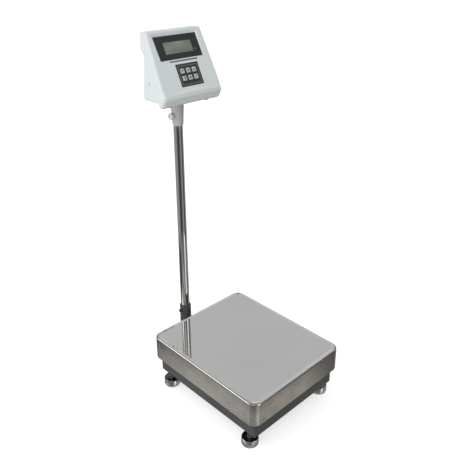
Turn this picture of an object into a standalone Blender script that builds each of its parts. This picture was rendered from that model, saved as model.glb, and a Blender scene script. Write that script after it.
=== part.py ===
"""Platform shipping scale: a steel base with a lift-off platter, a column and a swivelling indicator.

Metres, +Z up. X runs to the operator's right, Y to the back, and the floor is z = 0.
"""

import math

import bmesh
import bpy
from mathutils import Matrix, Vector

GAP = 0.0003  # left between faces that touch on the real scale

# Platter: a pressed stainless pan that rests on four rubber buffers.
PLATTER_W = 0.420
PLATTER_D = 0.500
PLATTER_Y = -0.055
PLATTER_TOP = 0.200
SKIRT_H = 0.0845
PLATTER_CORNER_R = 0.030
PLATTER_EDGE_R = 0.005
PLATTER_SHEET = 0.0015

# Base frame: mitred rectangular tube.
BASE_W = 0.378
BASE_D = 0.464
BASE_Z = 0.050
BEAM_W = 0.030
BEAM_H = 0.050
BEAM_WALL = 0.0025

# Levelling feet.
FOOT_X = BASE_W / 2 - 0.0150
FOOT_Y = 0.197
FOOT_R = 0.0278
FOOT_H = 0.028
SOLE_H = 0.0008  # how far the rubber sole stands below the cup
STUD_R = 0.006
STUD_TOP = 0.085
WELD_NUT_H = 0.010

# Single-point load cell, along Y.
CELL_SIZE = (0.040, 0.150, 0.040)
CELL_Z = 0.0960
CELL_END = 0.053  # from the cell's middle to the middle of each bolt pair
BOLT_R = 0.004
BOLT_PITCH = 0.025
SPACER_H = 0.006
CHANNEL_T = 0.005
LOWER_CHANNEL_W = 0.060
UPPER_CHANNEL_W = 0.080

# Upper frame: two rails and a channel, which carry the platter.
RAIL_W = 0.030
RAIL_H = 0.040
RAIL_L = 0.420
RAIL_X = 0.172
UPPER_Z = CELL_Z + CELL_SIZE[2] + SPACER_H
BUFFER_Y = 0.190
STOP_Y = 0.150

# Column: socket, tube and sleeve share one vertical axis.
AXIS_Y = PLATTER_Y + 0.3233
ARM_W = 0.060
ARM_H = 0.040
ARM_Z = 0.055
ARM_BACK = 0.030  # past the column's axis
SOCKET_TOP = 0.197
SOCKET_R = 0.021
TUBE_R = 0.016
TUBE_WALL = 0.0015
TUBE_TOP = 0.992
SLEEVE_Z = 0.9075
KNOB_Z = 0.942

# Indicator housing: a wedge. Its profile is (distance behind the column's axis, height).
HOUSING_Z = 1.009
HOUSING_TOP = 1.2185
FACE_TOP = (0.0034, 1.2172)
FACE_TILT = math.radians(26.6)
FACE_LENGTH = 0.2025
HALF_W_TOP = 0.1095
HALF_W_LOW = 0.1160
SPLAY = 0.055  # how much each side opens towards the front
SPLAY_FROM = 0.020
PARTING = 0.008
REAR = 0.0367
FACE_WALL = 0.005
SHELL_WALL = 0.003

# On the front face: x across, s down the slope from the top edge.
WINDOW_X, WINDOW_S = -0.0015, (0.0150, 0.0935)
WINDOW_W = 0.170
WINDOW_DEEP_TOP, WINDOW_DEEP_LOW = 0.0046, 0.0012
LCD_X, LCD_S = -0.0020, 0.0555
LCD_SIZE = (0.114, 0.041)
LED_X, LED_S = 0.0634, 0.0680
PANEL_X, PANEL_S = 0.0064, 0.1470
PANEL_SIZE = (0.0905, 0.0728)
PANEL_T = 0.0012
KEY_SIZE = 0.0155
KEY_X, KEY_S = 0.0050, (0.1334, 0.1570)
KEY_PITCH = 0.0236
KEY_HOLE = KEY_SIZE + 0.0007

for old in list(bpy.data.objects):
    bpy.data.objects.remove(old, do_unlink=True)
SCALE = bpy.data.collections.new("platform_scale")
CUTTERS = bpy.data.collections.new("cutters")
for collection in (SCALE, CUTTERS):
    bpy.context.scene.collection.children.link(collection)


def material(name, colour, roughness, metallic=0.0):
    made = bpy.data.materials.new(name)
    made.use_nodes = True
    shader = made.node_tree.nodes["Principled BSDF"]
    shader.inputs["Base Color"].default_value = (*colour, 1.0)
    shader.inputs["Roughness"].default_value = roughness
    shader.inputs["Metallic"].default_value = metallic
    return made


STAINLESS = material("brushed_stainless", (0.55, 0.55, 0.54), 0.22, 1.0)
FRAME_PAINT = material("frame_paint", (0.075, 0.088, 0.086), 0.45)
CHROME = material("chrome", (0.75, 0.75, 0.74), 0.06, 1.0)
ZINC = material("zinc_plate", (0.58, 0.59, 0.60), 0.30, 1.0)
FOOT_STEEL = material("foot_steel", (0.60, 0.60, 0.59), 0.25, 1.0)
RUBBER = material("black_rubber", (0.02, 0.02, 0.02), 0.80)
ALUMINIUM = material("cell_aluminium", (0.65, 0.66, 0.67), 0.35, 1.0)
HOUSING = material("housing_plastic", (0.72, 0.76, 0.76), 0.40)
SLEEVE = material("sleeve_plastic", (0.50, 0.51, 0.48), 0.50)
KNOB = material("knob_plastic", (0.70, 0.70, 0.69), 0.40)
WINDOW = material("window_tint", (0.035, 0.040, 0.042), 0.15)
LCD = material("lcd_glass", (0.24, 0.25, 0.22), 0.30)
LED = material("led_lens", (0.45, 0.45, 0.45), 0.25)
PANEL = material("panel_film", (0.018, 0.022, 0.020), 0.35)
KEYCAP = material("key_plastic", (0.50, 0.50, 0.49), 0.50)
BOARD = material("circuit_board", (0.02, 0.20, 0.09), 0.45)
CELL_CASE = material("battery_case", (0.03, 0.03, 0.035), 0.50)
CABLE = material("cable_jacket", (0.05, 0.05, 0.05), 0.60)


# ---------------------------------------------------------------- helpers


def from_bmesh(name, mesh_data, surface, smooth=False, cutter=False):
    bmesh.ops.recalc_face_normals(mesh_data, faces=mesh_data.faces)
    mesh = bpy.data.meshes.new(name)
    mesh_data.to_mesh(mesh)
    mesh_data.free()
    mesh.materials.append(surface)
    for polygon in mesh.polygons:
        polygon.use_smooth = smooth
    made = bpy.data.objects.new(name, mesh)
    (CUTTERS if cutter else SCALE).objects.link(made)
    if cutter:
        made.hide_render = True
        made.display_type = "WIRE"
    return made


def box(name, size, centre, surface, bevel=0.0, segments=2, cutter=False, turn=None):
    """A box of this size about centre, turned by an optional rotation matrix."""
    shape = bmesh.new()
    bmesh.ops.create_cube(shape, size=1.0)
    bmesh.ops.scale(shape, vec=size, verts=shape.verts)
    made = from_bmesh(name, shape, surface, cutter=cutter)
    place(made, centre, turn)
    if bevel:
        add_bevel(made, bevel, segments)
    return made


def place(made, centre, turn=None):
    made.matrix_world = Matrix.Translation(centre) @ (turn.to_4x4() if turn else Matrix())


def add_bevel(made, width, segments=2, angle=40):
    bevel = made.modifiers.new("edges", "BEVEL")
    bevel.width = width
    bevel.segments = segments
    bevel.limit_method = "ANGLE"
    bevel.angle_limit = math.radians(angle)
    return bevel


def cylinder(name, radius, length, centre, surface, axis="Z", sides=24, cutter=False, turn=None):
    shape = bmesh.new()
    bmesh.ops.create_cone(
        shape, cap_ends=True, segments=sides, radius1=radius, radius2=radius, depth=length
    )
    if axis != "Z":
        spin = Matrix.Rotation(math.pi / 2, 3, "Y" if axis == "X" else "X")
        bmesh.ops.rotate(shape, cent=(0, 0, 0), matrix=spin, verts=shape.verts)
    made = from_bmesh(name, shape, surface, smooth=not cutter and sides > 8, cutter=cutter)
    place(made, centre, turn)
    return made


def turned(name, profile, centre, surface, sides=40, axis="Z"):
    """A solid of revolution from (radius, height) points that run down the outer side."""
    mesh = bpy.data.meshes.new(name)
    points = [(radius, 0.0, height) for radius, height in profile]
    closed = profile[0][0] > 0
    count = len(points)
    edges = [(i, i + 1) for i in range(count - 1)] + ([(count - 1, 0)] if closed else [])
    mesh.from_pydata(points, edges, [])
    mesh.materials.append(surface)
    made = bpy.data.objects.new(name, mesh)
    SCALE.objects.link(made)
    turn = Matrix.Rotation(-math.pi / 2, 3, "Y") if axis == "-X" else None
    place(made, centre, turn)
    screw = made.modifiers.new("turn", "SCREW")
    screw.axis = "Z"
    screw.steps = sides
    screw.render_steps = sides
    screw.use_merge_vertices = True
    screw.merge_threshold = 0.00001
    screw.use_smooth_shade = True
    return made


def combine(target, other, operation="DIFFERENCE"):
    step = target.modifiers.new(operation.lower(), "BOOLEAN")
    step.operation = operation
    step.solver = "EXACT"
    step.object = other


def tool(made):
    """Turns an object into a hidden operand."""
    SCALE.objects.unlink(made)
    CUTTERS.objects.link(made)
    made.hide_render = True
    made.display_type = "WIRE"
    return made


# ---------------------------------------------------------------- base frame


def mitred_beam(name, length, centre, along, inward):
    """A hollow beam whose ends are cut at 45 degrees towards the inside of the frame."""
    shape = bmesh.new()
    bmesh.ops.create_cube(shape, size=1.0)
    size = (length, BEAM_W, BEAM_H) if along == "X" else (BEAM_W, length, BEAM_H)
    bmesh.ops.scale(shape, vec=size, verts=shape.verts)
    run, across = (0, 1) if along == "X" else (1, 0)
    for corner in shape.verts:
        end = math.copysign(1.0, corner.co[run])
        corner.co[run] -= end * GAP / 2
        if corner.co[across] * inward > 0:
            corner.co[run] -= end * BEAM_W
    made = from_bmesh(name, shape, FRAME_PAINT)
    place(made, centre)
    hollow = (length * 1.2, BEAM_W - 2 * BEAM_WALL, BEAM_H - 2 * BEAM_WALL)
    if along == "Y":
        hollow = (hollow[1], hollow[0], hollow[2])
    combine(made, box(f"{name}_hollow", hollow, centre, FRAME_PAINT, cutter=True))
    return made


def base_frame():
    middle_z = BASE_Z + BEAM_H / 2
    side_x = (BASE_W - BEAM_W) / 2
    end_y = (BASE_D - BEAM_W) / 2
    for side, word in ((-1, "left"), (1, "right")):
        beam = mitred_beam(f"base_beam_{word}", BASE_D, (side * side_x, PLATTER_Y, middle_z), "Y", -side)
        for end in (-1, 1):
            place_y = PLATTER_Y + end * FOOT_Y
            name = f"weld_nut_{word}_{'rear' if end > 0 else 'front'}"
            nut_z = BASE_Z - WELD_NUT_H / 2 + BEAM_WALL / 2
            nut = cylinder(name, 0.0110, WELD_NUT_H + BEAM_WALL, (side * FOOT_X, place_y, nut_z),
                           FRAME_PAINT, sides=6)
            combine(beam, tool(nut), "UNION")
            bore = cylinder(f"{name}_bore", STUD_R + 0.0004, 0.03, (side * FOOT_X, place_y, BASE_Z),
                            FRAME_PAINT, sides=20, cutter=True)
            combine(beam, bore)
    mitred_beam("base_beam_front", BASE_W, (0, PLATTER_Y - end_y, middle_z), "X", 1)
    rear = mitred_beam("base_beam_rear", BASE_W, (0, PLATTER_Y + end_y, middle_z), "X", -1)
    hole_at = (0, PLATTER_Y + end_y, ARM_Z + ARM_H / 2)
    combine(rear, cylinder("rear_cable_hole", 0.007, 0.05, hole_at, FRAME_PAINT, "Y", 16, True))


def channel(name, width, height, span, centre_y, low_z, open_up, bolt_z):
    """A cross channel along X with its web drilled for the load cell's two bolts."""
    centre = (0, centre_y, low_z + height / 2)
    made = box(name, (span, width, height), centre, FRAME_PAINT)
    lift = CHANNEL_T if open_up else -CHANNEL_T
    hollow = (span * 1.1, width - 2 * CHANNEL_T, height)
    combine(made, box(f"{name}_hollow", hollow, (0, centre_y, centre[2] + lift), FRAME_PAINT, cutter=True))
    for bolt_y in bolt_places(centre_y):
        bore = cylinder(f"{name}_bore_{bolt_y:.3f}", BOLT_R + GAP, 0.02, (0, bolt_y, bolt_z),
                        FRAME_PAINT, sides=16, cutter=True)
        combine(made, bore)
    return made


def bolt_places(centre_y):
    return (centre_y - BOLT_PITCH / 2, centre_y + BOLT_PITCH / 2)


def rear_arm():
    front = PLATTER_Y + BASE_D / 2 + GAP
    back = AXIS_Y + ARM_BACK
    centre = (0, (front + back) / 2, ARM_Z + ARM_H / 2)
    arm = box("rear_arm", (ARM_W, back - front, ARM_H), centre, FRAME_PAINT, bevel=0.003)
    hollow = (ARM_W - 0.006, back - front, ARM_H - 0.006)
    inside = (0, centre[1] - 0.003, centre[2])
    combine(arm, box("rear_arm_hollow", hollow, inside, FRAME_PAINT, cutter=True))
    top_hole = (0, AXIS_Y, ARM_Z + ARM_H)
    combine(arm, cylinder("arm_cable_hole", 0.008, 0.02, top_hole, FRAME_PAINT, sides=16, cutter=True))


def column_socket():
    foot_z = ARM_Z + ARM_H + GAP
    bore_r = TUBE_R + 0.0005
    profile = [
        (bore_r, SOCKET_TOP), (SOCKET_R - 0.0008, SOCKET_TOP), (SOCKET_R, SOCKET_TOP - 0.0008),
        (SOCKET_R, foot_z + 0.004), (bore_r, foot_z + 0.004),
    ]
    socket = turned("column_socket", profile, (0, AXIS_Y, 0), FRAME_PAINT)
    flange = tool(box("socket_flange", (0.056, 0.058, 0.006), (0, AXIS_Y, foot_z + 0.003), FRAME_PAINT))
    combine(socket, flange, "UNION")
    floor_hole = (0, AXIS_Y, foot_z)
    cable_hole = cylinder("socket_cable_hole", 0.008, 0.03, floor_hole, FRAME_PAINT, sides=16, cutter=True)
    combine(socket, cable_hole)
    side_hole = (-SOCKET_R, AXIS_Y, SOCKET_TOP - 0.018)
    combine(socket, cylinder("socket_bolt_hole", 0.0033, 0.012, side_hole, FRAME_PAINT, "X", 12, True))
    bolt_profile = [
        (0.0, 0.0115), (0.0050, 0.0115), (0.0066, 0.0100), (0.0066, 0.0055), (0.0030, 0.0055), (0.0030, 0.0),
        (0.0, 0.0),
    ]
    tip = (-TUBE_R - GAP, AXIS_Y, SOCKET_TOP - 0.018)
    turned("socket_clamp_bolt", bolt_profile, tip, ZINC, sides=18, axis="-X")


# ---------------------------------------------------------------- feet


def foot(word, x, y):
    cup = [
        (FOOT_R - 0.0012, FOOT_H), (FOOT_R, FOOT_H - 0.0006), (FOOT_R, 0.0055), (FOOT_R - 0.0006, 0.0030),
        (FOOT_R - 0.0022, SOLE_H), (FOOT_R - 0.0042, SOLE_H), (FOOT_R - 0.0018, 0.0055),
        (FOOT_R - 0.0018, FOOT_H - 0.0006),
    ]
    turned(f"foot_cup_{word}", cup, (x, y, 0), FOOT_STEEL, sides=36)
    inner = FOOT_R - 0.0018 - GAP
    pad_top = FOOT_H - 0.0012
    socket_z = 0.0060
    pad = [
        (STUD_R + GAP, pad_top + 0.0020), (0.0125, pad_top + 0.0020), (0.0140, pad_top), (inner, pad_top),
        (inner, 0.0058), (inner - 0.0026, SOLE_H), (inner - 0.0030, 0.0), (0.0, 0.0), (0.0, socket_z),
        (STUD_R + GAP, socket_z),
    ]
    turned(f"foot_pad_{word}", pad, (x, y, 0), RUBBER, sides=32)
    low, high = socket_z + GAP, STUD_TOP
    stud = [(0.0, high), (STUD_R - 0.0010, high), (STUD_R, high - 0.0010), (STUD_R, low), (0.0, low)]
    turned(f"foot_stud_{word}", stud, (x, y, 0), ZINC, sides=20)


def feet():
    for end, row in ((-1, "front"), (1, "rear")):
        for side, word in ((-1, "left"), (1, "right")):
            foot(f"{row}_{word}", side * FOOT_X, PLATTER_Y + end * FOOT_Y)


# ---------------------------------------------------------------- load path


def load_cell():
    middle = (0, PLATTER_Y, CELL_Z + CELL_SIZE[2] / 2)
    cell = box("load_cell", CELL_SIZE, middle, ALUMINIUM, bevel=0.001, segments=1)
    for side in (-1, 1):
        place_at = (0, PLATTER_Y + side * 0.014, middle[2])
        combine(cell, cylinder(f"cell_eye_{side}", 0.0135, 0.06, place_at, ALUMINIUM, "X", 24, True))
    combine(cell, box("cell_waist", (0.06, 0.028, 0.010), middle, ALUMINIUM, cutter=True))
    for end in (-1, 1):
        for bolt_y in bolt_places(PLATTER_Y + end * CELL_END):
            mouth_z = CELL_Z if end < 0 else CELL_Z + CELL_SIZE[2]
            bore = cylinder(f"cell_bore_{bolt_y:.3f}", BOLT_R + GAP, 0.036, (0, bolt_y, mouth_z),
                            ALUMINIUM, sides=16, cutter=True)
            combine(cell, bore)


def spacer(name, centre_y, low_z):
    size = (CELL_SIZE[0] - 0.001, 0.044, SPACER_H - 2 * GAP)
    made = box(name, size, (0, centre_y, low_z + SPACER_H / 2), ZINC)
    for bolt_y in bolt_places(centre_y):
        bore = cylinder(f"{name}_bore_{bolt_y:.3f}", BOLT_R + GAP, 0.02, (0, bolt_y, low_z + 0.003),
                        ZINC, sides=16, cutter=True)
        combine(made, bore)


def bolt_pair(name, centre_y, seat_z, upwards):
    """Two hexagon bolts on one clamping strap. They point up from below, or down from above."""
    way = 1 if upwards else -1
    strap = box(name, (0.018, 0.048, 0.003), (0, centre_y, seat_z - way * (0.0015 + GAP)), ZINC)
    for bolt_y in bolt_places(centre_y):
        head_at = (0, bolt_y, seat_z - way * 0.0060)
        head = cylinder(f"{name}_head_{bolt_y:.3f}", 0.0075, 0.0065, head_at, ZINC, sides=6)
        shank_middle = seat_z + way * (0.0255 / 2 - 0.003)
        shank_at = (0, bolt_y, shank_middle)
        shank = cylinder(f"{name}_shank_{bolt_y:.3f}", BOLT_R, 0.0255, shank_at, ZINC, sides=16)
        combine(strap, tool(head), "UNION")
        combine(strap, tool(shank), "UNION")


def load_path():
    low_y = PLATTER_Y - CELL_END
    high_y = PLATTER_Y + CELL_END
    low_top = CELL_Z - SPACER_H
    span = BASE_W - 2 * BEAM_W - 2 * GAP
    channel("base_cross_channel", LOWER_CHANNEL_W, 0.040, span, low_y, low_top - 0.040, False, low_top)
    spacer("cell_spacer_lower", low_y, low_top)
    bolt_pair("cell_bolts_lower", low_y, low_top - CHANNEL_T, True)
    load_cell()
    spacer("cell_spacer_upper", high_y, CELL_Z + CELL_SIZE[2])
    span = 2 * RAIL_X - RAIL_W - 2 * GAP
    channel("upper_cross_channel", UPPER_CHANNEL_W, RAIL_H, span, high_y, UPPER_Z, True, UPPER_Z)
    bolt_pair("cell_bolts_upper", high_y, UPPER_Z + CHANNEL_T, False)
    for side, word in ((-1, "left"), (1, "right")):
        centre = (side * RAIL_X, PLATTER_Y, UPPER_Z + RAIL_H / 2)
        rail = box(f"upper_rail_{word}", (RAIL_W, RAIL_L, RAIL_H), centre, FRAME_PAINT)
        hollow = (RAIL_W - 2 * BEAM_WALL, RAIL_L * 1.1, RAIL_H - 2 * BEAM_WALL)
        combine(rail, box(f"upper_rail_hollow_{word}", hollow, centre, FRAME_PAINT, cutter=True))
        for end, row in ((-1, "front"), (1, "rear")):
            buffer_z = UPPER_Z + RAIL_H + GAP
            top = PLATTER_TOP - PLATTER_SHEET - GAP - buffer_z
            profile = [
                (0.0, top), (0.0105, top), (0.0135, top - 0.004), (0.0145, 0.002), (0.0140, 0.0), (0.0, 0.0),
            ]
            turned(f"platter_buffer_{row}_{word}", profile,
                   (side * RAIL_X, PLATTER_Y + end * BUFFER_Y, buffer_z), RUBBER, sides=20)
            overload_stop(f"overload_stop_{row}_{word}", side * RAIL_X, PLATTER_Y + end * STOP_Y)


def overload_stop(name, x, y):
    """An upright stop bolt with its lock nut, 2 mm short of the rail above."""
    seat = BASE_Z + BEAM_H + GAP
    height = UPPER_Z - 0.002 - seat
    profile = [(0.0, height), (0.0060, height), (0.0080, height - 0.002), (0.0080, height - 0.006),
               (0.0050, height - 0.006), (0.0050, 0.0), (0.0, 0.0)]
    stop = turned(name, profile, (x, y, seat), ZINC, sides=16)
    nut = cylinder(f"{name}_nut", 0.0095, 0.007, (x, y, seat + 0.0045), ZINC, sides=6)
    combine(stop, tool(nut), "UNION")


# ---------------------------------------------------------------- platter


def platter():
    shape = bmesh.new()
    bmesh.ops.create_cube(shape, size=1.0)
    bmesh.ops.scale(shape, vec=(PLATTER_W, PLATTER_D, SKIRT_H), verts=shape.verts)
    upright = [e for e in shape.edges if abs(e.verts[0].co.z - e.verts[1].co.z) > SKIRT_H / 2]
    bmesh.ops.bevel(shape, geom=upright, offset=PLATTER_CORNER_R, segments=8, profile=0.5, affect="EDGES")
    top = [e for e in shape.edges if all(v.co.z > SKIRT_H / 2 - 1e-6 for v in e.verts)]
    bmesh.ops.bevel(shape, geom=top, offset=PLATTER_EDGE_R, segments=4, profile=0.5, affect="EDGES")
    bottom = [f for f in shape.faces if all(v.co.z < -SKIRT_H / 2 + 1e-6 for v in f.verts)]
    bmesh.ops.delete(shape, geom=bottom, context="FACES_ONLY")
    made = from_bmesh("platter", shape, STAINLESS, smooth=True)
    place(made, (0, PLATTER_Y, PLATTER_TOP - SKIRT_H / 2))
    made.data.set_sharp_from_angle(angle=math.radians(50))
    sheet = made.modifiers.new("sheet", "SOLIDIFY")
    sheet.thickness = PLATTER_SHEET
    sheet.offset = -1
    sheet.use_even_offset = True


# ---------------------------------------------------------------- column


def column():
    outer, inner = TUBE_R, TUBE_R - TUBE_WALL
    foot_z = ARM_Z + ARM_H + 2 * GAP + 0.006
    profile = [(inner, TUBE_TOP), (outer, TUBE_TOP), (outer, foot_z), (inner, foot_z)]
    turned("column_tube", profile, (0, AXIS_Y, 0), CHROME, sides=48)
    bore = TUBE_R + 0.0004
    sleeve_profile = [
        (0.0120, HOUSING_Z - GAP), (0.0222, HOUSING_Z - GAP), (0.0215, 0.975), (0.0182, SLEEVE_Z + 0.0012),
        (0.0176, SLEEVE_Z), (bore, SLEEVE_Z), (bore, TUBE_TOP + 0.0006), (0.0120, TUBE_TOP + 0.0006),
    ]
    sleeve = turned("column_sleeve", sleeve_profile, (0, AXIS_Y, 0), SLEEVE, sides=40)
    pad = cylinder("sleeve_screw_boss", 0.0070, 0.0060, (-0.0205, AXIS_Y, KNOB_Z), SLEEVE, "X", 20)
    combine(sleeve, tool(pad), "UNION")
    side_hole = (-0.021, AXIS_Y, KNOB_Z)
    combine(sleeve, cylinder("sleeve_screw_hole", 0.0033, 0.012, side_hole, SLEEVE, "X", 16, True))
    knob_profile = [
        (0.0, 0.0185), (0.0060, 0.0185), (0.0075, 0.0178), (0.0095, 0.0172), (0.0112, 0.0160),
        (0.0118, 0.0145), (0.0118, 0.0105), (0.0108, 0.0093), (0.0060, 0.0086), (0.0060, 0.0082),
        (0.0030, 0.0082), (0.0030, 0.0), (0.0, 0.0),
    ]
    knob = turned("clamp_knob", knob_profile, (-TUBE_R - GAP, AXIS_Y, KNOB_Z), KNOB, sides=32, axis="-X")
    dimple_at = (-TUBE_R - GAP - 0.0185, AXIS_Y, KNOB_Z)
    dimple = cylinder("knob_dimple", 0.0032, 0.004, dimple_at, KNOB, "X", 16, True)
    combine(knob, dimple)


# ---------------------------------------------------------------- indicator

DOWN = Vector((0, -math.sin(FACE_TILT), -math.cos(FACE_TILT)))
OUT = Vector((0, -math.cos(FACE_TILT), math.sin(FACE_TILT)))
ACROSS = Vector((1, 0, 0))
FACE_ORIGIN = Vector((0, AXIS_Y + FACE_TOP[0], FACE_TOP[1]))


def on_face(x, s, out=0.0):
    """The point x across, s down the front face and out in front of it."""
    return FACE_ORIGIN + ACROSS * x + DOWN * s + OUT * out


def face_turn(extra=0.0):
    """Turns local X, Y, Z to across, up the face and out of it."""
    return Matrix.Rotation(math.pi / 2 - FACE_TILT - extra, 3, "X")


def half_width(y, z):
    """Half the housing's width at y behind the axis and at height z: each side is one leaning plane."""
    share = (FACE_TOP[1] - z) / (FACE_TOP[1] - HOUSING_Z)
    return HALF_W_TOP + (HALF_W_LOW - HALF_W_TOP) * share + SPLAY * (SPLAY_FROM - y)


def housing_outline():
    """(y behind the axis, z) all round the housing, from the top of the parting line to the front."""
    low_y = FACE_TOP[0] - FACE_LENGTH * math.sin(FACE_TILT)
    low_z = FACE_TOP[1] - FACE_LENGTH * math.cos(FACE_TILT)
    return [
        (PARTING, HOUSING_TOP), (FACE_TOP[0] + 0.0012, HOUSING_TOP), FACE_TOP,
        (low_y, low_z), (low_y - 0.0022, low_z - 0.0080), (low_y - 0.0022, low_z - 0.0160),
        (low_y + 0.0098, low_z - 0.0361), (low_y + 0.0173, low_z - 0.0400), (low_y + 0.0273, low_z - 0.0410),
        (low_y + 0.0373, low_z - 0.0390), (low_y + 0.0446, HOUSING_Z), (PARTING, HOUSING_Z),
        (0.0270, HOUSING_Z), (0.0165, 1.1450), (REAR, 1.1660), (REAR, 1.2090), (0.0270, HOUSING_TOP),
    ]


def prism(name, outline, inset, surface, cutter):
    """The outline extruded across the housing's tapering width, less inset at each side."""
    shape = bmesh.new()
    rings = []
    for side in (-1, 1):
        points = [(side * (half_width(y, z) - inset), AXIS_Y + y, z) for y, z in outline]
        rings.append([shape.verts.new(point) for point in points])
    count = len(outline)
    shape.faces.new(rings[0])
    shape.faces.new(list(reversed(rings[1])))
    for i in range(count):
        after = (i + 1) % count
        shape.faces.new((rings[0][i], rings[1][i], rings[1][after], rings[0][after]))
    return from_bmesh(name, shape, surface, cutter=cutter)


def cavity_outline():
    """(y behind the axis, z) round the hollow: FACE_WALL behind the face and SHELL_WALL elsewhere."""
    high_z, floor_z = HOUSING_TOP - SHELL_WALL, HOUSING_Z + SHELL_WALL
    nose_z = FACE_TOP[1] - FACE_LENGTH * math.cos(FACE_TILT)
    back = REAR - SHELL_WALL
    return [
        (inner_face_y(high_z), high_z), (inner_face_y(nose_z), nose_z),
        (inner_face_y(nose_z) + 0.0010, nose_z - 0.0120), (inner_face_y(nose_z) + 0.0160, floor_z),
        (0.0270 - SHELL_WALL, floor_z), (0.0165 - SHELL_WALL, 1.1462), (back, 1.1673), (back, 1.2076),
        (0.0258, high_z),
    ]


def inner_face_y(z):
    return FACE_TOP[0] - (FACE_TOP[1] - z) * math.tan(FACE_TILT) + FACE_WALL / math.cos(FACE_TILT)


def shell(name, front, cavity):
    made = prism(name, housing_outline(), 0.0, HOUSING, False)
    add_bevel(made, 0.0065, 3, 50)
    for polygon in made.data.polygons:
        polygon.use_smooth = True
    made.data.set_sharp_from_angle(angle=math.radians(40))
    depth = 0.3
    centre_y = AXIS_Y + PARTING + (-1 if front else 1) * (depth / 2 + GAP / 2)
    side = box(f"{name}_side", (0.4, depth, 0.4), (0, centre_y, 1.11), HOUSING, cutter=True)
    combine(made, side, "INTERSECT")
    combine(made, cavity)
    return made


def window_pocket():
    """The tapering recess that the window lies in: deep at the top, almost flush at the bottom."""
    top, low = WINDOW_S
    half = WINDOW_W / 2 + GAP
    shape = bmesh.new()
    floor_ring = [
        on_face(WINDOW_X - half, top - GAP, -WINDOW_DEEP_TOP),
        on_face(WINDOW_X + half, top - GAP, -WINDOW_DEEP_TOP),
        on_face(WINDOW_X + half, low + GAP, -WINDOW_DEEP_LOW),
        on_face(WINDOW_X - half, low + GAP, -WINDOW_DEEP_LOW),
    ]
    mouth_ring = [
        on_face(WINDOW_X - half - 0.0070, 0.0040, 0.001),
        on_face(WINDOW_X + half + 0.0070, 0.0040, 0.001),
        on_face(WINDOW_X + half + 0.0022, low + 0.0022, 0.001),
        on_face(WINDOW_X - half - 0.0022, low + 0.0022, 0.001),
    ]
    inner = [shape.verts.new(p) for p in floor_ring]
    outer = [shape.verts.new(p) for p in mouth_ring]
    shape.faces.new(inner)
    shape.faces.new(list(reversed(outer)))
    for i in range(4):
        shape.faces.new((outer[i], outer[(i + 1) % 4], inner[(i + 1) % 4], inner[i]))
    return from_bmesh("window_pocket", shape, HOUSING, cutter=True)


def key_places():
    for row, s in enumerate(KEY_S, 1):
        for column_number in (-1, 0, 1):
            yield row, column_number + 2, KEY_X + column_number * KEY_PITCH, s


WINDOW_TILT = math.atan2(WINDOW_DEEP_TOP - WINDOW_DEEP_LOW, WINDOW_S[1] - WINDOW_S[0])


def on_window_floor(x, s, out=0.0):
    """The point x across and s down on the window pocket's floor, and out in front of it."""
    share = (s - WINDOW_S[0]) / (WINDOW_S[1] - WINDOW_S[0])
    floor = on_face(x, s, -WINDOW_DEEP_TOP + (WINDOW_DEEP_TOP - WINDOW_DEEP_LOW) * share)
    return floor + face_turn(WINDOW_TILT) @ Vector((0, 0, out))


def front_parts(cavity):
    front = shell("indicator_front_shell", True, cavity)
    combine(front, window_pocket())
    turn = face_turn(WINDOW_TILT)
    opening = (LCD_SIZE[0] + 0.006, LCD_SIZE[1] + 0.006, 0.020)
    lcd_opening = box("lcd_opening", opening, on_window_floor(LCD_X, LCD_S), HOUSING, cutter=True, turn=turn)
    combine(front, lcd_opening)
    lcd_t = 0.0060
    lcd_at = on_window_floor(LCD_X, LCD_S, -lcd_t / 2)
    box("lcd_module", (*LCD_SIZE, lcd_t), lcd_at, LCD, turn=turn)
    window_t = 0.0010
    window_at = on_window_floor(WINDOW_X, sum(WINDOW_S) / 2, GAP + window_t / 2)
    window_size = (WINDOW_W, WINDOW_S[1] - WINDOW_S[0] - 2 * GAP, window_t)
    window = box("display_window", window_size, window_at, WINDOW, turn=turn)
    led_at = on_window_floor(LED_X, LED_S, 2 * GAP + window_t / 2)
    combine(window, cylinder("led_hole", 0.0020, 0.004, led_at, WINDOW, sides=12, cutter=True, turn=turn))
    cylinder("status_led", 0.0017, window_t, led_at, LED, sides=12, turn=turn)

    pocket_size = (PANEL_SIZE[0] + 2 * GAP, PANEL_SIZE[1] + 2 * GAP, 0.0030)
    pocket_at = on_face(PANEL_X, PANEL_S, 0.0030 / 2 - 0.0010)
    combine(front, box("panel_pocket", pocket_size, pocket_at, HOUSING, cutter=True, turn=face_turn()))
    well_size = (3 * KEY_PITCH, 2 * KEY_PITCH, 0.020)
    well_at = on_face(KEY_X, sum(KEY_S) / 2)
    combine(front, box("key_well", well_size, well_at, HOUSING, cutter=True, turn=face_turn()))
    groove_at = on_face(0.0020, 0.1000)
    groove = box("strip_groove", (0.113, 0.0044, 0.0040), groove_at, HOUSING, cutter=True, turn=face_turn())
    combine(front, groove)
    panel_at = on_face(PANEL_X, PANEL_S, -0.0010 + GAP + PANEL_T / 2)
    panel = box("keypad_panel", (*PANEL_SIZE, PANEL_T), panel_at, PANEL, turn=face_turn())
    for row, number, x, s in key_places():
        hole = box(f"key_hole_{row}{number}", (KEY_HOLE, KEY_HOLE, 0.01), on_face(x, s), PANEL, cutter=True,
                   turn=face_turn())
        combine(panel, hole)
        key(f"key_{row}_{number}", x, s)


def key(name, x, s):
    """A key cap that stands 1.2 mm proud of the panel. Its origin is on its own line of travel."""
    depth = 0.0044
    proud = -0.0010 + GAP + PANEL_T + 0.0012
    box(name, (KEY_SIZE, KEY_SIZE, depth), on_face(x, s, proud - depth / 2), KEYCAP, bevel=0.0008, segments=2,
        turn=face_turn())


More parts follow.
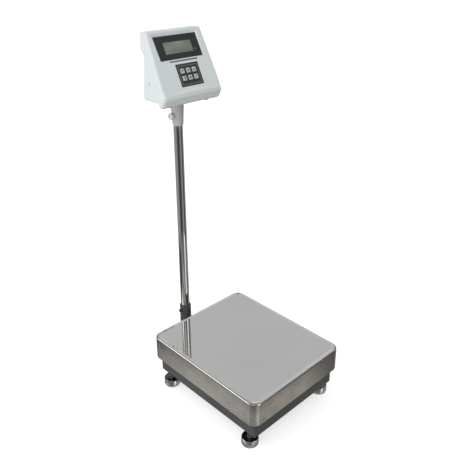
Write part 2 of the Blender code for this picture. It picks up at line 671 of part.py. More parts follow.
def indicator():
    cavity = prism("housing_cavity", cavity_outline(), SHELL_WALL, HOUSING, True)
    front_parts(cavity)
    rear = shell("indicator_rear_shell", False, cavity)
    hole_at = (0, AXIS_Y, HOUSING_Z)
    cable_hole = cylinder("housing_cable_hole", 0.0100, 0.02, hole_at, HOUSING, sides=24, cutter=True)
    for made in (rear, bpy.data.objects["indicator_front_shell"]):
        combine(made, cable_hole)
    socket_at = Vector((0.070, AXIS_Y + 0.0245, 1.040))
    combine(rear, cylinder("charging_hole", 0.0055, 0.03, socket_at, HOUSING, "Y", 20, True))
    jack_profile = [
        (0.0020, 0.0040), (0.0062, 0.0040), (0.0062, 0.0034), (0.0050, 0.0034), (0.0050, -0.0060),
        (0.0020, -0.0060),
    ]
    jack = turned("charging_socket", jack_profile, socket_at, RUBBER, sides=20)
    jack.matrix_world = Matrix.Translation(socket_at) @ Matrix.Rotation(-math.pi / 2, 4, "X")

    board_at = on_face(0.0, 0.1130, -0.0185)
    box("circuit_board", (0.170, 0.130, 0.0016), board_at, BOARD, turn=face_turn())
    box("battery", (0.097, 0.024, 0.052), (-0.054, AXIS_Y - 0.022, 1.0395), CELL_CASE, bevel=0.002)
    for side, word in ((-1, "left"), (1, "right")):
        foot_at = (side * 0.075, AXIS_Y - 0.0600, 0.9928)
        cylinder(f"indicator_foot_{word}", 0.0060, 0.0040, foot_at, RUBBER, sides=16)
        screw_y, screw_z = -0.0111, 1.0645
        screw_at = (side * (half_width(screw_y, screw_z) + 0.0012), AXIS_Y + screw_y, screw_z)
        cylinder(f"housing_screw_{word}", 0.0035, 0.0014, screw_at, ZINC, "X", 16)


# ---------------------------------------------------------------- cable


CABLE_R = 0.0022
CABLE_STEP = 0.014  # between the points of its route


def smooth_route(points, step):
    """Points read at even steps from a smooth curve through the route's own points."""
    count = len(points)
    dense = []
    for i in range(count - 1):
        p = [Vector(points[max(0, min(count - 1, i + k))]) for k in (-1, 0, 1, 2)]
        for k in range(24):
            t = k / 24
            dense.append(0.5 * (2 * p[1] + (p[2] - p[0]) * t + (2 * p[0] - 5 * p[1] + 4 * p[2] - p[3]) * t * t
                                + (3 * p[1] - p[0] - 3 * p[2] + p[3]) * t ** 3))
    dense.append(Vector(points[-1]))
    route, walked = [dense[0]], 0.0
    for before, after in zip(dense, dense[1:]):
        walked += (after - before).length
        if walked >= step:
            route.append(after)
            walked = 0.0
    return route


def load_cell_cable():
    """From the cell's side, through the rear beam and the arm, and up inside the column."""
    level = ARM_Z + ARM_H / 2
    rear = PLATTER_Y + BASE_D / 2
    route = smooth_route([
        (0.0212, PLATTER_Y - 0.035, 0.118), (0.030, PLATTER_Y - 0.034, 0.118),
        (0.036, PLATTER_Y + 0.005, 0.112), (0.034, PLATTER_Y + 0.080, 0.098),
        (0.020, PLATTER_Y + 0.140, 0.084), (0.005, PLATTER_Y + 0.180, level),
        (0.0, rear - 0.030, level), (0.0, rear, level), (0.0, rear + 0.040, level),
        (0.0, AXIS_Y - 0.020, level + 0.001), (0.0, AXIS_Y - 0.004, level + 0.010),
        (0.0, AXIS_Y, level + 0.026), (0.0, AXIS_Y, 0.200), (0.0, AXIS_Y, 0.500),
        (0.0, AXIS_Y, 0.800), (0.0, AXIS_Y, 1.030),
    ], CABLE_STEP)
    curve = bpy.data.curves.new("load_cell_cable", "CURVE")
    curve.dimensions = "3D"
    curve.bevel_depth = CABLE_R
    curve.bevel_resolution = 1
    curve.use_fill_caps = True
    line = curve.splines.new("POLY")
    line.points.add(len(route) - 1)
    for point, at in zip(line.points, route):
        point.co = (*at, 1.0)
    curve.materials.append(CABLE)
    SCALE.objects.link(bpy.data.objects.new("load_cell_cable", curve))


base_frame()
rear_arm()
column_socket()
feet()
load_path()
platter()
column()
indicator()
load_cell_cable()
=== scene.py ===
"""Platform shipping scale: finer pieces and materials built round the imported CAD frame.

Metres, +Z up. X runs to the operator's right, Y to the back, and the floor is z = 0.
"""

import math

import bmesh
import bpy
from mathutils import Matrix, Vector

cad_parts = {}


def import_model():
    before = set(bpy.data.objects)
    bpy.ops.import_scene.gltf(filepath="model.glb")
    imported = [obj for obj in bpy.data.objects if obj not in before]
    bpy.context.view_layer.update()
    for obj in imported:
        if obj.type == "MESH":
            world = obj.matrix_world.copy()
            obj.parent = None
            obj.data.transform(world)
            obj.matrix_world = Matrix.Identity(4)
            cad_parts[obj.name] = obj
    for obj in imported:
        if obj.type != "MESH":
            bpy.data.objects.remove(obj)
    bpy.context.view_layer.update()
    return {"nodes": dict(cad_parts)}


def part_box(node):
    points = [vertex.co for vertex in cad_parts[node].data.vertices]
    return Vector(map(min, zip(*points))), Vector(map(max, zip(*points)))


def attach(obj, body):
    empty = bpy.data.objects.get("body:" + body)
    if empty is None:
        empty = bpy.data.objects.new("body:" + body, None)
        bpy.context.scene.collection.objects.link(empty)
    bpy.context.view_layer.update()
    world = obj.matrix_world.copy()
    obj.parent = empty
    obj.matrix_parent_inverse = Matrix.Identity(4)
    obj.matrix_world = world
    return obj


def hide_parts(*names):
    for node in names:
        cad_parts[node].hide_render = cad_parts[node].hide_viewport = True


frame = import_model()

GAP = 0.0003
SIDES = [("left", -1), ("right", 1)]
CORNERS = [("front_left", -1, -1), ("front_right", 1, -1), ("rear_left", -1, 1), ("rear_right", 1, 1)]

# ---------------------------------------------------------------- measures from the frame

PLATTER_LOW, PLATTER_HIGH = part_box("platter")
PLATTER_Y = (PLATTER_LOW[1] + PLATTER_HIGH[1]) / 2
PLATTER_TOP = PLATTER_HIGH[2]
TUBE_LOW, TUBE_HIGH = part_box("column_tube")
AXIS_Y = (TUBE_LOW[1] + TUBE_HIGH[1]) / 2
TUBE_R = (TUBE_HIGH[0] - TUBE_LOW[0]) / 2
BEAM_LOW, BEAM_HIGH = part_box("base_beam_left")
BEAM_W, BEAM_H = BEAM_HIGH[0] - BEAM_LOW[0], 0.05
BEAM_TOP = BEAM_HIGH[2]
BEAM_Z = BEAM_TOP - BEAM_H
BASE_W = -2 * BEAM_LOW[0]
BASE_D = BEAM_HIGH[1] - BEAM_LOW[1] + GAP
FOOT_X, FOOT_Y = 0.174, 0.197
STUD_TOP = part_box("foot_stud_front_left")[1][2]
ARM_LOW, ARM_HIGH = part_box("rear_arm")
ARM_MIDDLE = (ARM_LOW[2] + ARM_HIGH[2]) / 2
SOCKET_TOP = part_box("column_socket")[1][2]
HOUSING_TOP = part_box("indicator_front_shell")[1][2]
HOUSING_Z = 1.009
FACE_TILT = math.radians(26.6)
FACE_TOP = (0.0034, 1.2172)
FACE_LENGTH = 0.2025
PARTING = 0.008

# ---------------------------------------------------------------- camera, light and floor

DOME_LEVEL, DOME_TILT = 0.69, (-0.65, 0.0, 0.3)
STUDIO_FRONT, STUDIO_SIDE = (-0.699, -0.715, 0.0), (0.715, -0.699, 0.0)
ZENITH, ZENITH_TONE = (0.72, 0.9), (0.1, 0.1, 0.1)
# The studio's rings of tones by turn: 0.5 is its front, and 0 and 1 are its back.
SKY = [
    (0.0, 0.72), (0.036, 0.75), (0.058, 0.34), (0.13, 0.26), (0.2, 0.3), (0.31, 0.26), (0.42, 0.2),
    (0.54, 0.22), (0.6, 0.24), (0.62, 1.7), (0.67, 1.7), (0.69, 0.24), (0.76, 0.18), (0.85, 0.3),
    (0.938, 0.34), (0.966, 0.71), (1.0, 0.72),
]
HIGH_BAND = [
    (0.1, 0.3), (0.29, 0.31), (0.37, 0.27), (0.43, 0.065), (0.505, 0.045), (0.575, 0.12), (0.645, 0.36),
    (0.685, 0.16), (0.715, 0.04), (0.755, 0.06), (0.81, 0.24), (1.0, 0.35),
]
LOW_BAND = [
    (0.05, 0.1), (0.17, 0.05), (0.28, 0.045), (0.33, 0.09), (0.39, 0.26), (0.486, 0.19), (0.575, 0.17),
    (0.592, 1.5), (0.65, 1.7), (0.664, 0.2), (0.7, 0.06), (0.755, 0.08), (0.82, 0.4), (0.9, 0.2),
    (1.0, 0.12),
]
POOL = [
    (0.12, (0.06, 0.06, 0.06)), (0.2, (0.74, 0.72, 0.68)), (0.3, (0.98, 0.96, 0.91)),
    (0.37, (0.34, 0.33, 0.31)), (0.44, (0.13, 0.13, 0.12)), (0.53, (0.16, 0.16, 0.15)),
    (0.59, (0.62, 0.59, 0.54)), (0.66, (0.42, 0.4, 0.37)), (0.74, (0.66, 0.62, 0.56)),
    (0.82, (0.52, 0.49, 0.44)), (0.9, (0.06, 0.06, 0.06)),
]
GROUND = [(0.15, 0.05), (0.3, 0.16), (0.42, 0.46), (0.56, 0.5), (0.68, 0.26), (0.84, 0.05)]
# The rings above the ground, with the heights where each starts to show and where it is full.
RINGS = [(POOL, -0.71, -0.68), (LOW_BAND, -0.645, -0.595), (HIGH_BAND, -0.515, -0.455)]
SKYLINE = (-0.15, -0.09)
# Soft round lamps in the sky: direction, cosines of the angles to the rim and the full core, and brightness.
SKY_LAMPS = [
    ((-0.75, 0.56, 0.35), 0.945, 0.988, 2.35), ((0.62, -0.28, 0.735), 0.98, 0.995, 1.5),
    ((0.66, 0.75, 0.06), 0.955, 0.985, 0.5), ((0.15, 0.57, 0.808), 0.97, 0.988, 0.62),
    ((0.556, 0.16, 0.815), 0.97, 0.988, 0.62),
]


def in_scene(name, data):
    made = bpy.data.objects.new(name, data)
    bpy.context.scene.collection.objects.link(made)
    return made


def camera():
    data = bpy.data.cameras.new("camera")
    data.sensor_width = 36.0
    data.lens = 45.34
    data.shift_y = -0.078
    data.clip_end = 200
    made = in_scene("camera", data)
    made.location = (-1.2121, -1.2537, 1.4793)
    made.rotation_euler = (math.radians(66.36), 0.0, math.radians(-44.37))
    bpy.context.scene.camera = made


class Nodes:
    """A short way to write a shader tree."""

    def __init__(self, tree):
        self.tree = tree

    def add(self, kind, **settings):
        node = self.tree.nodes.new("ShaderNode" + kind)
        for key, value in settings.items():
            setattr(node, key, value)
        return node

    def link(self, source, target):
        if isinstance(source, bpy.types.NodeSocket):
            self.tree.links.new(source, target)
        else:
            target.default_value = source

    def feed(self, node, *values):
        """Gives the node's inputs these values or links in order, and returns its first output."""
        for socket, value in zip(node.inputs, values):
            self.link(value, socket)
        return node.outputs[0]

    def fill(self, node, **values):
        """Gives the node's inputs values or links by name, with _ for a space."""
        for name, value in values.items():
            self.link(value, node.inputs[name.replace("_", " ")])
        return node

    def math(self, operation, *values):
        return self.feed(self.add("Math", operation=operation), *values)

    def dot(self, a, b):
        node = self.add("VectorMath", operation="DOT_PRODUCT")
        self.feed(node, a, b)
        return node.outputs["Value"]

    def parts(self, vector):
        node = self.add("SeparateXYZ")
        self.feed(node, vector)
        return node.outputs

    def place(self, stretch=(1, 1, 1)):
        """Object coordinates, stretched."""
        at = self.add("TexCoord").outputs["Object"]
        return self.fill(self.add("Mapping"), Vector=at, Scale=stretch).outputs["Vector"]

    def noise(self, stretch, scale, detail=2.0, roughness=0.5):
        node = self.fill(self.add("TexNoise"), Vector=self.place(stretch), Scale=scale, Detail=detail,
                         Roughness=roughness)
        return node.outputs["Fac"]

    def spread(self, value, low, high, to_low=0.0, to_high=1.0):
        """Maps value from low..high to to_low..to_high, held at the ends."""
        return self.feed(self.add("MapRange", clamp=True), value, low, high, to_low, to_high)

    def ramp(self, value, stops):
        node = self.fill(self.add("ValToRGB"), Fac=value)
        elements = node.color_ramp.elements
        while len(elements) < len(stops):
            elements.new(0.5)
        for element, (position, colour) in zip(elements, stops):
            element.position = position
            element.color = (colour, colour, colour, 1.0) if isinstance(colour, float) else (*colour, 1.0)
        return node.outputs["Color"]

    def mix(self, factor, a, b, blend="MIX"):
        node = self.add("Mix", data_type="RGBA", blend_type=blend)
        a, b = ((*value, 1.0) if isinstance(value, tuple) else value for value in (a, b))
        return self.fill(node, Factor=factor, A=a, B=b).outputs["Result"]

    def fade(self, value, low, high, a, b):
        """Colour a where value is low, colour b where it is high."""
        return self.mix(self.spread(value, low, high), a, b)

    def grey(self, value):
        return self.feed(self.add("CombineXYZ"), value, value, value)


def world():
    """A studio that lights soft and pale from the left, with darker flags that only metal and glass show."""
    made = bpy.data.worlds.new("studio")
    bpy.context.scene.world = made
    made.use_nodes = True
    made.cycles.sampling_method = "NONE"
    tree = Nodes(made.node_tree)
    ray = tree.add("TexCoord").outputs["Generated"]
    height = tree.parts(ray)["Z"]
    angle = tree.math("ARCTAN2", tree.dot(ray, STUDIO_SIDE), tree.dot(ray, STUDIO_FRONT))
    turn = tree.math("ADD", tree.math("DIVIDE", angle, 2 * math.pi), 0.5)

    sky = tree.fade(height, *ZENITH, tree.ramp(turn, SKY), ZENITH_TONE)
    for direction, rim, core, gain in SKY_LAMPS:
        glow = tree.spread(tree.dot(ray, direction), rim, core, 0.0, gain)
        sky = tree.mix(1.0, sky, tree.grey(glow), "ADD")
    studio = tree.ramp(turn, GROUND)
    for stops, low, high in RINGS:
        studio = tree.fade(height, low, high, studio, tree.ramp(turn, stops))
    studio = tree.fade(height, *SKYLINE, studio, sky)

    soft = tree.math("ADD", tree.dot(ray, DOME_TILT), DOME_LEVEL)
    path = tree.add("LightPath")
    seen = tree.mix(path.outputs["Is Diffuse Ray"], studio, tree.grey(soft))
    seen = tree.mix(path.outputs["Is Camera Ray"], seen, (1.0, 1.0, 1.0))
    tree.fill(made.node_tree.nodes["Background"], Color=seen, Strength=1.0)


def floor():
    shape = bmesh.new()
    bmesh.ops.create_grid(shape, x_segments=1, y_segments=1, size=60.0)
    mesh = bpy.data.meshes.new("floor")
    shape.to_mesh(mesh)
    shape.free()
    made = in_scene("floor", mesh)
    made.location.z = -0.0002
    mesh.materials.append(surface("floor", (0.6, 0.6, 0.6), 0.9, Specular_IOR_Level=0.0,
                                  Emission_Color=(1.0, 1.0, 1.0, 1.0), Emission_Strength=0.62)[0])
    made.visible_glossy = False
    made.visible_diffuse = False


def lamps():
    data = bpy.data.lights.new("key", "SUN")
    data.energy = 0.25
    data.angle = math.radians(50)
    in_scene("key", data).rotation_euler = (math.radians(38), 0.0, math.radians(-62))


# ---------------------------------------------------------------- materials


def surface(name, colour, roughness, metallic=0.0, **more):
    made = bpy.data.materials.new(name)
    made.use_nodes = True
    tree = Nodes(made.node_tree)
    shader = made.node_tree.nodes["Principled BSDF"]
    tree.fill(shader, Base_Color=(*colour, 1.0), Roughness=roughness, Metallic=metallic, **more)
    return made, shader, tree


def bump(tree, shader, height, strength, distance):
    node = tree.fill(tree.add("Bump"), Strength=strength, Distance=distance, Height=height)
    tree.fill(shader, Normal=node.outputs["Normal"])


def darker(colour, share):
    return tuple(channel * share for channel in colour)


def brushed(name, colour, roughness, stretch, depth, blotch):
    """Metal with fine lines: stretch is the line texture's scale along X, Y and Z."""
    made, shader, tree = surface(name, colour, roughness, 1.0)
    lines = tree.noise(stretch, 1.0, 4.0, 0.65)
    cloud = tree.noise((1, 1, 1), 9.0, 3.0, 0.55)
    tone = tree.fade(cloud, 0.3, 0.7, darker(colour, 1 - blotch), darker(colour, 1 + blotch / 2))
    tone = tree.mix(tree.spread(lines, 0.25, 0.75, 0.0, depth), tone, darker(colour, 0.55))
    rough = tree.math("ADD", tree.spread(lines, 0.2, 0.8, -0.05, 0.06),
                      tree.spread(cloud, 0.3, 0.7, -0.02, 0.03))
    tree.fill(shader, Base_Color=tone, Roughness=tree.math("ADD", rough, roughness))
    bump(tree, shader, lines, 0.12, 0.0002)
    return made


def skirt_steel(name, colour):
    """Drawn steel: lines along the sheet, handling marks in patches, painted shade in a band under the top
    edge, and painted shade along the front towards the right corner.
    """
    made, shader, tree = surface(name, colour, 0.22, 1.0)
    lines = tree.noise((3, 3, 900), 1.0, 4.0, 0.65)
    patches = tree.noise((1, 1, 1), 16.0, 4.0, 0.62)
    specks = tree.noise((1, 1, 1), 110.0, 3.0, 0.6)
    x, y, z = tree.parts(tree.place())
    tone = tree.fade(patches, 0.36, 0.62, darker((0.585, 0.575, 0.56), 0.8), (0.7, 0.68, 0.645))
    tone = tree.mix(tree.spread(lines, 0.25, 0.75, 0.0, 0.16), tone, darker(colour, 0.55))
    tone = tree.mix(tree.spread(specks, 0.55, 0.75, 0.0, 0.25), tone, darker(colour, 0.72))
    # Painted shade: the base colour darkens in a band just under the top edge.
    top_edge_shade = tree.spread(z, PLATTER_TOP - 0.04, PLATTER_TOP - 0.008, 0.0, 0.42)
    tone = tree.mix(top_edge_shade, tone, darker(colour, 0.45))
    # Painted shade: the base colour darkens along the front side towards its right end.
    front_right_shade = tree.math("MULTIPLY", tree.spread(x, 0.02, 0.16, 0.0, 0.86),
                     tree.spread(y, PLATTER_Y - 0.2, PLATTER_Y - 0.24))
    rough = tree.math("ADD", tree.spread(lines, 0.2, 0.8, -0.04, 0.05),
                      tree.spread(patches, 0.3, 0.7, 0.18, 0.26))
    tree.fill(shader, Base_Color=tree.mix(front_right_shade, tone, darker(colour, 0.3)), Roughness=rough)
    bump(tree, shader, lines, 0.12, 0.0002)
    return made


def polished(name, colour, roughness):
    """Mirror-finished steel: even, with a trace of haze."""
    made, shader, tree = surface(name, colour, roughness, 1.0)
    haze = tree.noise((1, 1, 1), 5.0, 3.0)
    tree.fill(shader, Base_Color=tree.fade(haze, 0.3, 0.7, darker(colour, 0.95), colour),
              Roughness=tree.spread(haze, 0.35, 0.7, roughness, roughness + 0.035))
    return made


def painted(name, colour, roughness):
    """Powder coat: a fine orange peel with slight change of tone."""
    made, shader, tree = surface(name, colour, roughness)
    peel = tree.noise((1, 1, 1), 900.0)
    cloud = tree.noise((1, 1, 1), 14.0, 3.0)
    tree.fill(shader, Base_Color=tree.fade(cloud, 0.3, 0.7, darker(colour, 0.86), darker(colour, 1.1)),
              Roughness=tree.spread(peel, 0.3, 0.7, roughness - 0.06, roughness + 0.08))
    bump(tree, shader, peel, 0.18, 0.0003)
    return made


def moulded(name, colour, roughness, grain=1600.0, strength=0.12, tint=0.03):
    """Moulded plastic with a fine spark-eroded grain."""
    made, shader, tree = surface(name, colour, roughness)
    fine = tree.noise((1, 1, 1), grain, 2.0, 0.6)
    cloud = tree.noise((1, 1, 1), 6.0)
    tree.fill(shader, Base_Color=tree.fade(cloud, 0.3, 0.7, darker(colour, 1 - tint), colour),
              Roughness=tree.spread(fine, 0.3, 0.7, roughness - 0.05, roughness + 0.06))
    bump(tree, shader, fine, strength, 0.0001)
    return made


def plated(name, colour, roughness):
    """Zinc plate: patches of slightly warmer and cooler metal."""
    made, shader, tree = surface(name, colour, roughness, 1.0)
    cloud = tree.noise((1, 1, 1), 60.0, 3.0, 0.6)
    cool = (colour[0] * 0.9, colour[1] * 0.97, colour[2] * 1.06)
    warm = (colour[0] * 1.05, colour[1] * 1.0, colour[2] * 0.84)
    tree.fill(shader, Base_Color=tree.fade(cloud, 0.35, 0.65, cool, warm),
              Roughness=tree.spread(cloud, 0.3, 0.7, roughness - 0.06, roughness + 0.1))
    return made


def chrome_plate(name, colour):
    made, shader, tree = surface(name, colour, 0.02, 1.0)
    polish = tree.noise((220, 220, 3), 1.0, 3.0)
    haze = tree.noise((1, 1, 0.4), 12.0, 3.0)
    rough = tree.math("ADD", tree.spread(polish, 0.3, 0.7, 0.0, 0.012),
                      tree.spread(haze, 0.35, 0.7, 0.015, 0.04))
    tree.fill(shader, Roughness=rough)
    return made


def board_mask(name, mask, track):
    """Solder mask over straight copper tracks."""
    made, shader, tree = surface(name, mask, 0.35)
    tracks = tree.fill(tree.add("TexBrick"), Vector=tree.place(), Scale=90.0, Mortar_Size=0.03).outputs["Fac"]
    tree.fill(shader, Base_Color=tree.mix(tracks, mask, track))
    bump(tree, shader, tracks, 0.3, 0.0002)
    return made


def glass_panel(name, colour, roughness, coat):
    made, shader, tree = surface(name, colour, roughness, Coat_Weight=coat, Coat_Roughness=0.06)
    streak = tree.noise((3, 3, 60), 2.0, 3.0)
    tree.fill(shader, Base_Color=tree.fade(streak, 0.3, 0.7, darker(colour, 0.88), darker(colour, 1.08)),
              Roughness=tree.spread(streak, 0.3, 0.7, roughness - 0.03, roughness + 0.05))
    return made


camera()
world()
floor()
lamps()
bpy.context.scene.view_settings.view_transform = "Standard"

# A finish is a material and the name of a slot, which nothing here reads.
PLATTER_TOP_FINISH = polished("stainless_polished", (0.6, 0.6, 0.595), 0.045), "stainless"
RIM_METAL = polished("stainless_rim", (0.62, 0.62, 0.615), 0.25)
SKIRT_METAL = skirt_steel("stainless_brushed", (0.6, 0.588, 0.57))
FRAME_PAINT = painted("frame_paint", (0.064, 0.07, 0.068), 0.42), "frame_paint"
CHROME = chrome_plate("chrome", (0.8, 0.795, 0.775)), "chrome"
ZINC = plated("zinc_plate", (0.5, 0.51, 0.52), 0.3), "zinc"
BOLT_DARK = plated("socket_bolt_zinc", (0.2, 0.2, 0.2), 0.34), "zinc"
# Painted reflection: the polished cup tops are darkened to stand for the dark frame they mirror.
CUP_TOP_DARK_REFLECTION = polished("foot_top_painted_reflection", (0.15, 0.15, 0.148), 0.24)
FOOT_STEEL = brushed("foot_steel", (0.62, 0.615, 0.6), 0.17, (2, 2, 1400), 0.2, 0.12), "foot_steel"
RUBBER = moulded("black_rubber", (0.014, 0.014, 0.014), 0.7, 700.0, 0.35, 0.2), "rubber"
ALUMINIUM = brushed("cell_aluminium", (0.64, 0.65, 0.66), 0.36, (600, 4, 4), 0.15, 0.05), "cell_aluminium"
HOUSING = moulded("housing_plastic", (0.7, 0.745, 0.745), 0.42), "housing_plastic"
SLEEVE = moulded("sleeve_plastic", (0.46, 0.465, 0.43), 0.5), "sleeve_plastic"
KNOB = moulded("knob_plastic", (0.66, 0.67, 0.665), 0.38), "knob_plastic"
FOOT_GREY = moulded("indicator_foot_rubber", (0.28, 0.29, 0.29), 0.65, 900.0, 0.3), "rubber"
WINDOW = glass_panel("window_print", (0.03, 0.036, 0.036), 0.16, 0.35), "window_tint"
LCD = glass_panel("lcd_glass", (0.205, 0.212, 0.172), 0.3, 0.5), "lcd_glass"
LED = glass_panel("led_lens", (0.55, 0.55, 0.5), 0.2, 1.0), "led_lens"
PANEL = moulded("panel_film", (0.032, 0.04, 0.039), 0.42, 1200.0, 0.25, 0.1), "panel_film"
KEYCAP = moulded("key_plastic", (0.52, 0.52, 0.5), 0.45, 1500.0, 0.2), "key_plastic"
PRINT_LIGHT = moulded("panel_print", (0.34, 0.36, 0.36), 0.5), "panel_film"
PRINT_DARK = moulded("key_print", (0.03, 0.032, 0.032), 0.5), "key_plastic"
# Painted shade: a dark grey strip laid in the groove under the window, where the groove's wall would shade
# it.
GROOVE_SHADE_TONE = moulded("painted_groove_shade", (0.13, 0.13, 0.15), 0.45), "panel_film"
SCREW_PAINT = moulded("side_screw_paint", (0.56, 0.59, 0.59), 0.45), "zinc"
BOARD_MASK = board_mask("circuit_board", (0.02, 0.16, 0.07), (0.06, 0.3, 0.13))
CELL_CASE = moulded("battery_case", (0.03, 0.03, 0.035), 0.45, 600.0, 0.25)
CABLE = moulded("cable_jacket", (0.022, 0.022, 0.023), 0.48, 900.0, 0.2), "cable_jacket"
SEALANT = moulded("cell_sealant", (0.48, 0.47, 0.43), 0.6, 300.0, 0.3), "cell_aluminium"

# ---------------------------------------------------------------- places


def shift(x, y, z):
    return Matrix.Translation((x, y, z))


TO_LEFT, TO_RIGHT = Matrix.Rotation(-math.pi / 2, 4, "Y"), Matrix.Rotation(math.pi / 2, 4, "Y")
TO_FRONT, TO_BACK = Matrix.Rotation(math.pi / 2, 4, "X"), Matrix.Rotation(-math.pi / 2, 4, "X")
OVER = Matrix.Rotation(math.pi, 4, "X")


def moved(shape, matrix):
    bmesh.ops.transform(shape, matrix=matrix, verts=shape.verts)
    return shape


def middle_of(node):
    return [(a + b) / 2 for a, b in zip(*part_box(node))]


def size_of(node):
    return [b - a for a, b in zip(*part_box(node))]


def stand_of(node):
    """The place of the middle of a CAD node's underside."""
    x, y, _ = middle_of(node)
    return shift(x, y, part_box(node)[0][2])


# ---------------------------------------------------------------- shapes


def skin(shape, before, after):
    """Quads between two closed rows of vertices."""
    for i in range(len(before)):
        j = (i + 1) % len(before)
        shape.faces.new((before[i], before[j], after[j], after[i]))


def loft(rings, looped=False):
    """Skins rings of equal counts. looped joins the last to the first, or else both ends are closed."""
    shape = bmesh.new()
    made = [[shape.verts.new(point) for point in ring] for ring in rings]
    for before, after in zip(made, made[1:]):
        skin(shape, before, after)
    if looped:
        skin(shape, made[-1], made[0])
    else:
        shape.faces.new(list(reversed(made[0])))
        shape.faces.new(made[-1])
    return shape


def rounded_rectangle(half_x, half_y, radius, segments=6):
    """(x, y) points anticlockwise."""
    points = []
    for sign_x, sign_y, start in ((1, 1, 0.0), (-1, 1, 0.5), (-1, -1, 1.0), (1, -1, 1.5)):
        for k in range(segments + 1):
            angle = math.pi * (start + 0.5 * k / segments)
            points.append((sign_x * (half_x - radius) + radius * math.cos(angle),
                           sign_y * (half_y - radius) + radius * math.sin(angle)))
    return points


def flat_ring(size, inset, radius, height, segments=4):
    """A rounded rectangle of this size less its inset, at this height."""
    outline = rounded_rectangle(size[0] / 2 - inset, size[1] / 2 - inset, radius, segments)
    return [(x, y, height) for x, y in outline]


def pocket(size, radius, low, high, flare=0.0):
    """A block with rounded corners about Z from low to high, wider by flare at its top."""
    return loft([flat_ring(size, 0.0, radius, low), flat_ring(size, -flare, radius + flare * 0.5, high)])


def circle(radius, height, sides):
    turns = [2 * math.pi * k / sides for k in range(sides)]
    return [(radius * math.cos(turn), radius * math.sin(turn), height) for turn in turns]


def revolve(profile, sides=32):
    """A solid of revolution about Z. A profile that starts off the axis is closed into a ring."""
    shape = bmesh.new()
    rings = []
    for radius, height in profile:
        points = circle(radius, height, sides) if radius > 1e-6 else [(0, 0, height)]
        rings.append([shape.verts.new(point) for point in points])
    pairs = list(zip(rings, rings[1:])) + ([(rings[-1], rings[0])] if len(rings[0]) > 1 else [])
    for before, after in pairs:
        for k in range(sides):
            j = (k + 1) % sides
            face = dict.fromkeys((before[k % len(before)], before[j % len(before)],
                                  after[j % len(after)], after[k % len(after)]))
            if len(face) > 2:
                shape.faces.new(list(face))
    return shape


def rod(radius, low, high, sides=32):
    return revolve([(0.0, low), (radius, low), (radius, high), (0.0, high)], sides)


def rounded(profile, radius, steps=4):
    """The open profile with its inner corners rounded."""
    result = [profile[0]]
    for before, at, after in zip(profile, profile[1:], profile[2:]):
        at, before, after = Vector(at), Vector(before), Vector(after)
        to_before, to_after = before - at, after - at
        angle = to_before.angle(to_after)
        if angle > math.radians(172) or min(to_before.length, to_after.length) < 1e-5:
            result.append(tuple(at))
            continue
        reach = min(radius / math.tan(angle / 2), 0.45 * to_before.length, 0.45 * to_after.length)
        start, end = at + to_before.normalized() * reach, at + to_after.normalized() * reach
        for k in range(steps + 1):
            t = k / steps
            result.append(tuple(start * (1 - t) ** 2 + at * 2 * t * (1 - t) + end * t ** 2))
    result.append(profile[-1])
    return result


def ring_rounded(profile, radius, steps=4):
    """The closed profile with all of its corners rounded."""
    return rounded([profile[-1], *profile, profile[0]], radius, steps)[1:-1]


def block(size, centre=(0, 0, 0), radius=0.0, segments=3):
    """A box with rounded edges."""
    shape = bmesh.new()
    bmesh.ops.create_cube(shape, size=1.0)
    bmesh.ops.scale(shape, vec=size, verts=shape.verts)
    if radius:
        bmesh.ops.bevel(shape, geom=shape.edges[:], offset=radius, segments=segments, profile=0.5,
                        affect="EDGES")
    return moved(shape, Matrix.Translation(centre))


def hexagon(across, low, high):
    """A hexagon prism about Z with chamfered points at its top."""
    flat = across / 2

    def ring(height, most):
        points = []
        for k in range(36):
            angle = 2 * math.pi * k / 36
            reach = min(flat / math.cos((angle % (math.pi / 3)) - math.pi / 6), most)
            points.append((reach * math.cos(angle), reach * math.sin(angle), height))
        return points

    return loft([ring(low, across), ring(high - 0.0006, across), ring(high, flat * 1.02)])


def washer(inner, outer, low, high):
    edge = min(0.0003, (high - low) / 3)
    return revolve([(inner, low), (outer - edge, low), (outer, low + edge), (outer, high - edge),
                    (outer - edge, high), (inner, high)], 40)


def threaded(radius, low, high, pitch, depth, sides=28, steps=6):
    """A rod with a helical thread between low and high, closed at both ends."""
    rows = int((high - low) / pitch * steps)
    rings = [circle(0.8 * radius, low, sides)]
    for row in range(rows + 1):
        height = low + 0.0006 + (high - low - 0.0012) * row / rows
        ring = []
        for k in range(sides):
            phase = (height / pitch - k / sides) % 1.0
            reach = radius - depth * (1 - abs(2 * phase - 1)) ** 0.8
            angle = 2 * math.pi * k / sides
            ring.append((reach * math.cos(angle), reach * math.sin(angle), height))
        rings.append(ring)
    return loft([*rings, circle(0.8 * radius, high, sides)])


def ring_round(at, side, other, radius, sides):
    """Points round a spot, in the plane of two directions."""
    return [tuple(at + side * x + other * y) for x, y, _ in circle(radius, 0.0, sides)]


def bead(points, radius):
    """A weld bead along straight runs through these points: a rippled tube."""
    ripple = 0.0022
    path = []
    for start, end in zip(points, points[1:]):
        start, end = Vector(start), Vector(end)
        steps = max(2, int((end - start).length / (ripple / 3)))
        path += [start.lerp(end, k / steps) for k in range(steps)]
    path.append(Vector(points[-1]))
    rings, walked, last = [], 0.0, len(path) - 1
    for i, at in enumerate(path):
        ahead = path[min(i + 1, last)] - path[max(i - 1, 0)]
        walked += (at - path[max(i - 1, 0)]).length
        side = ahead.orthogonal().normalized()
        taper = min(1.0, 0.35 + 0.22 * min(i, last - i))
        size = radius * (0.82 + 0.18 * abs(math.sin(math.pi * walked / ripple))) * taper
        rings.append(ring_round(at, side, ahead.normalized().cross(side), size, 8))
    return loft(rings)


def bead_round(x, y, z, reach, steps, radius):
    """A weld bead round an upright part."""
    turns = [2 * math.pi * k / steps for k in range(steps + 1)]
    return bead([(x + reach * math.cos(turn), y + reach * math.sin(turn), z) for turn in turns], radius)


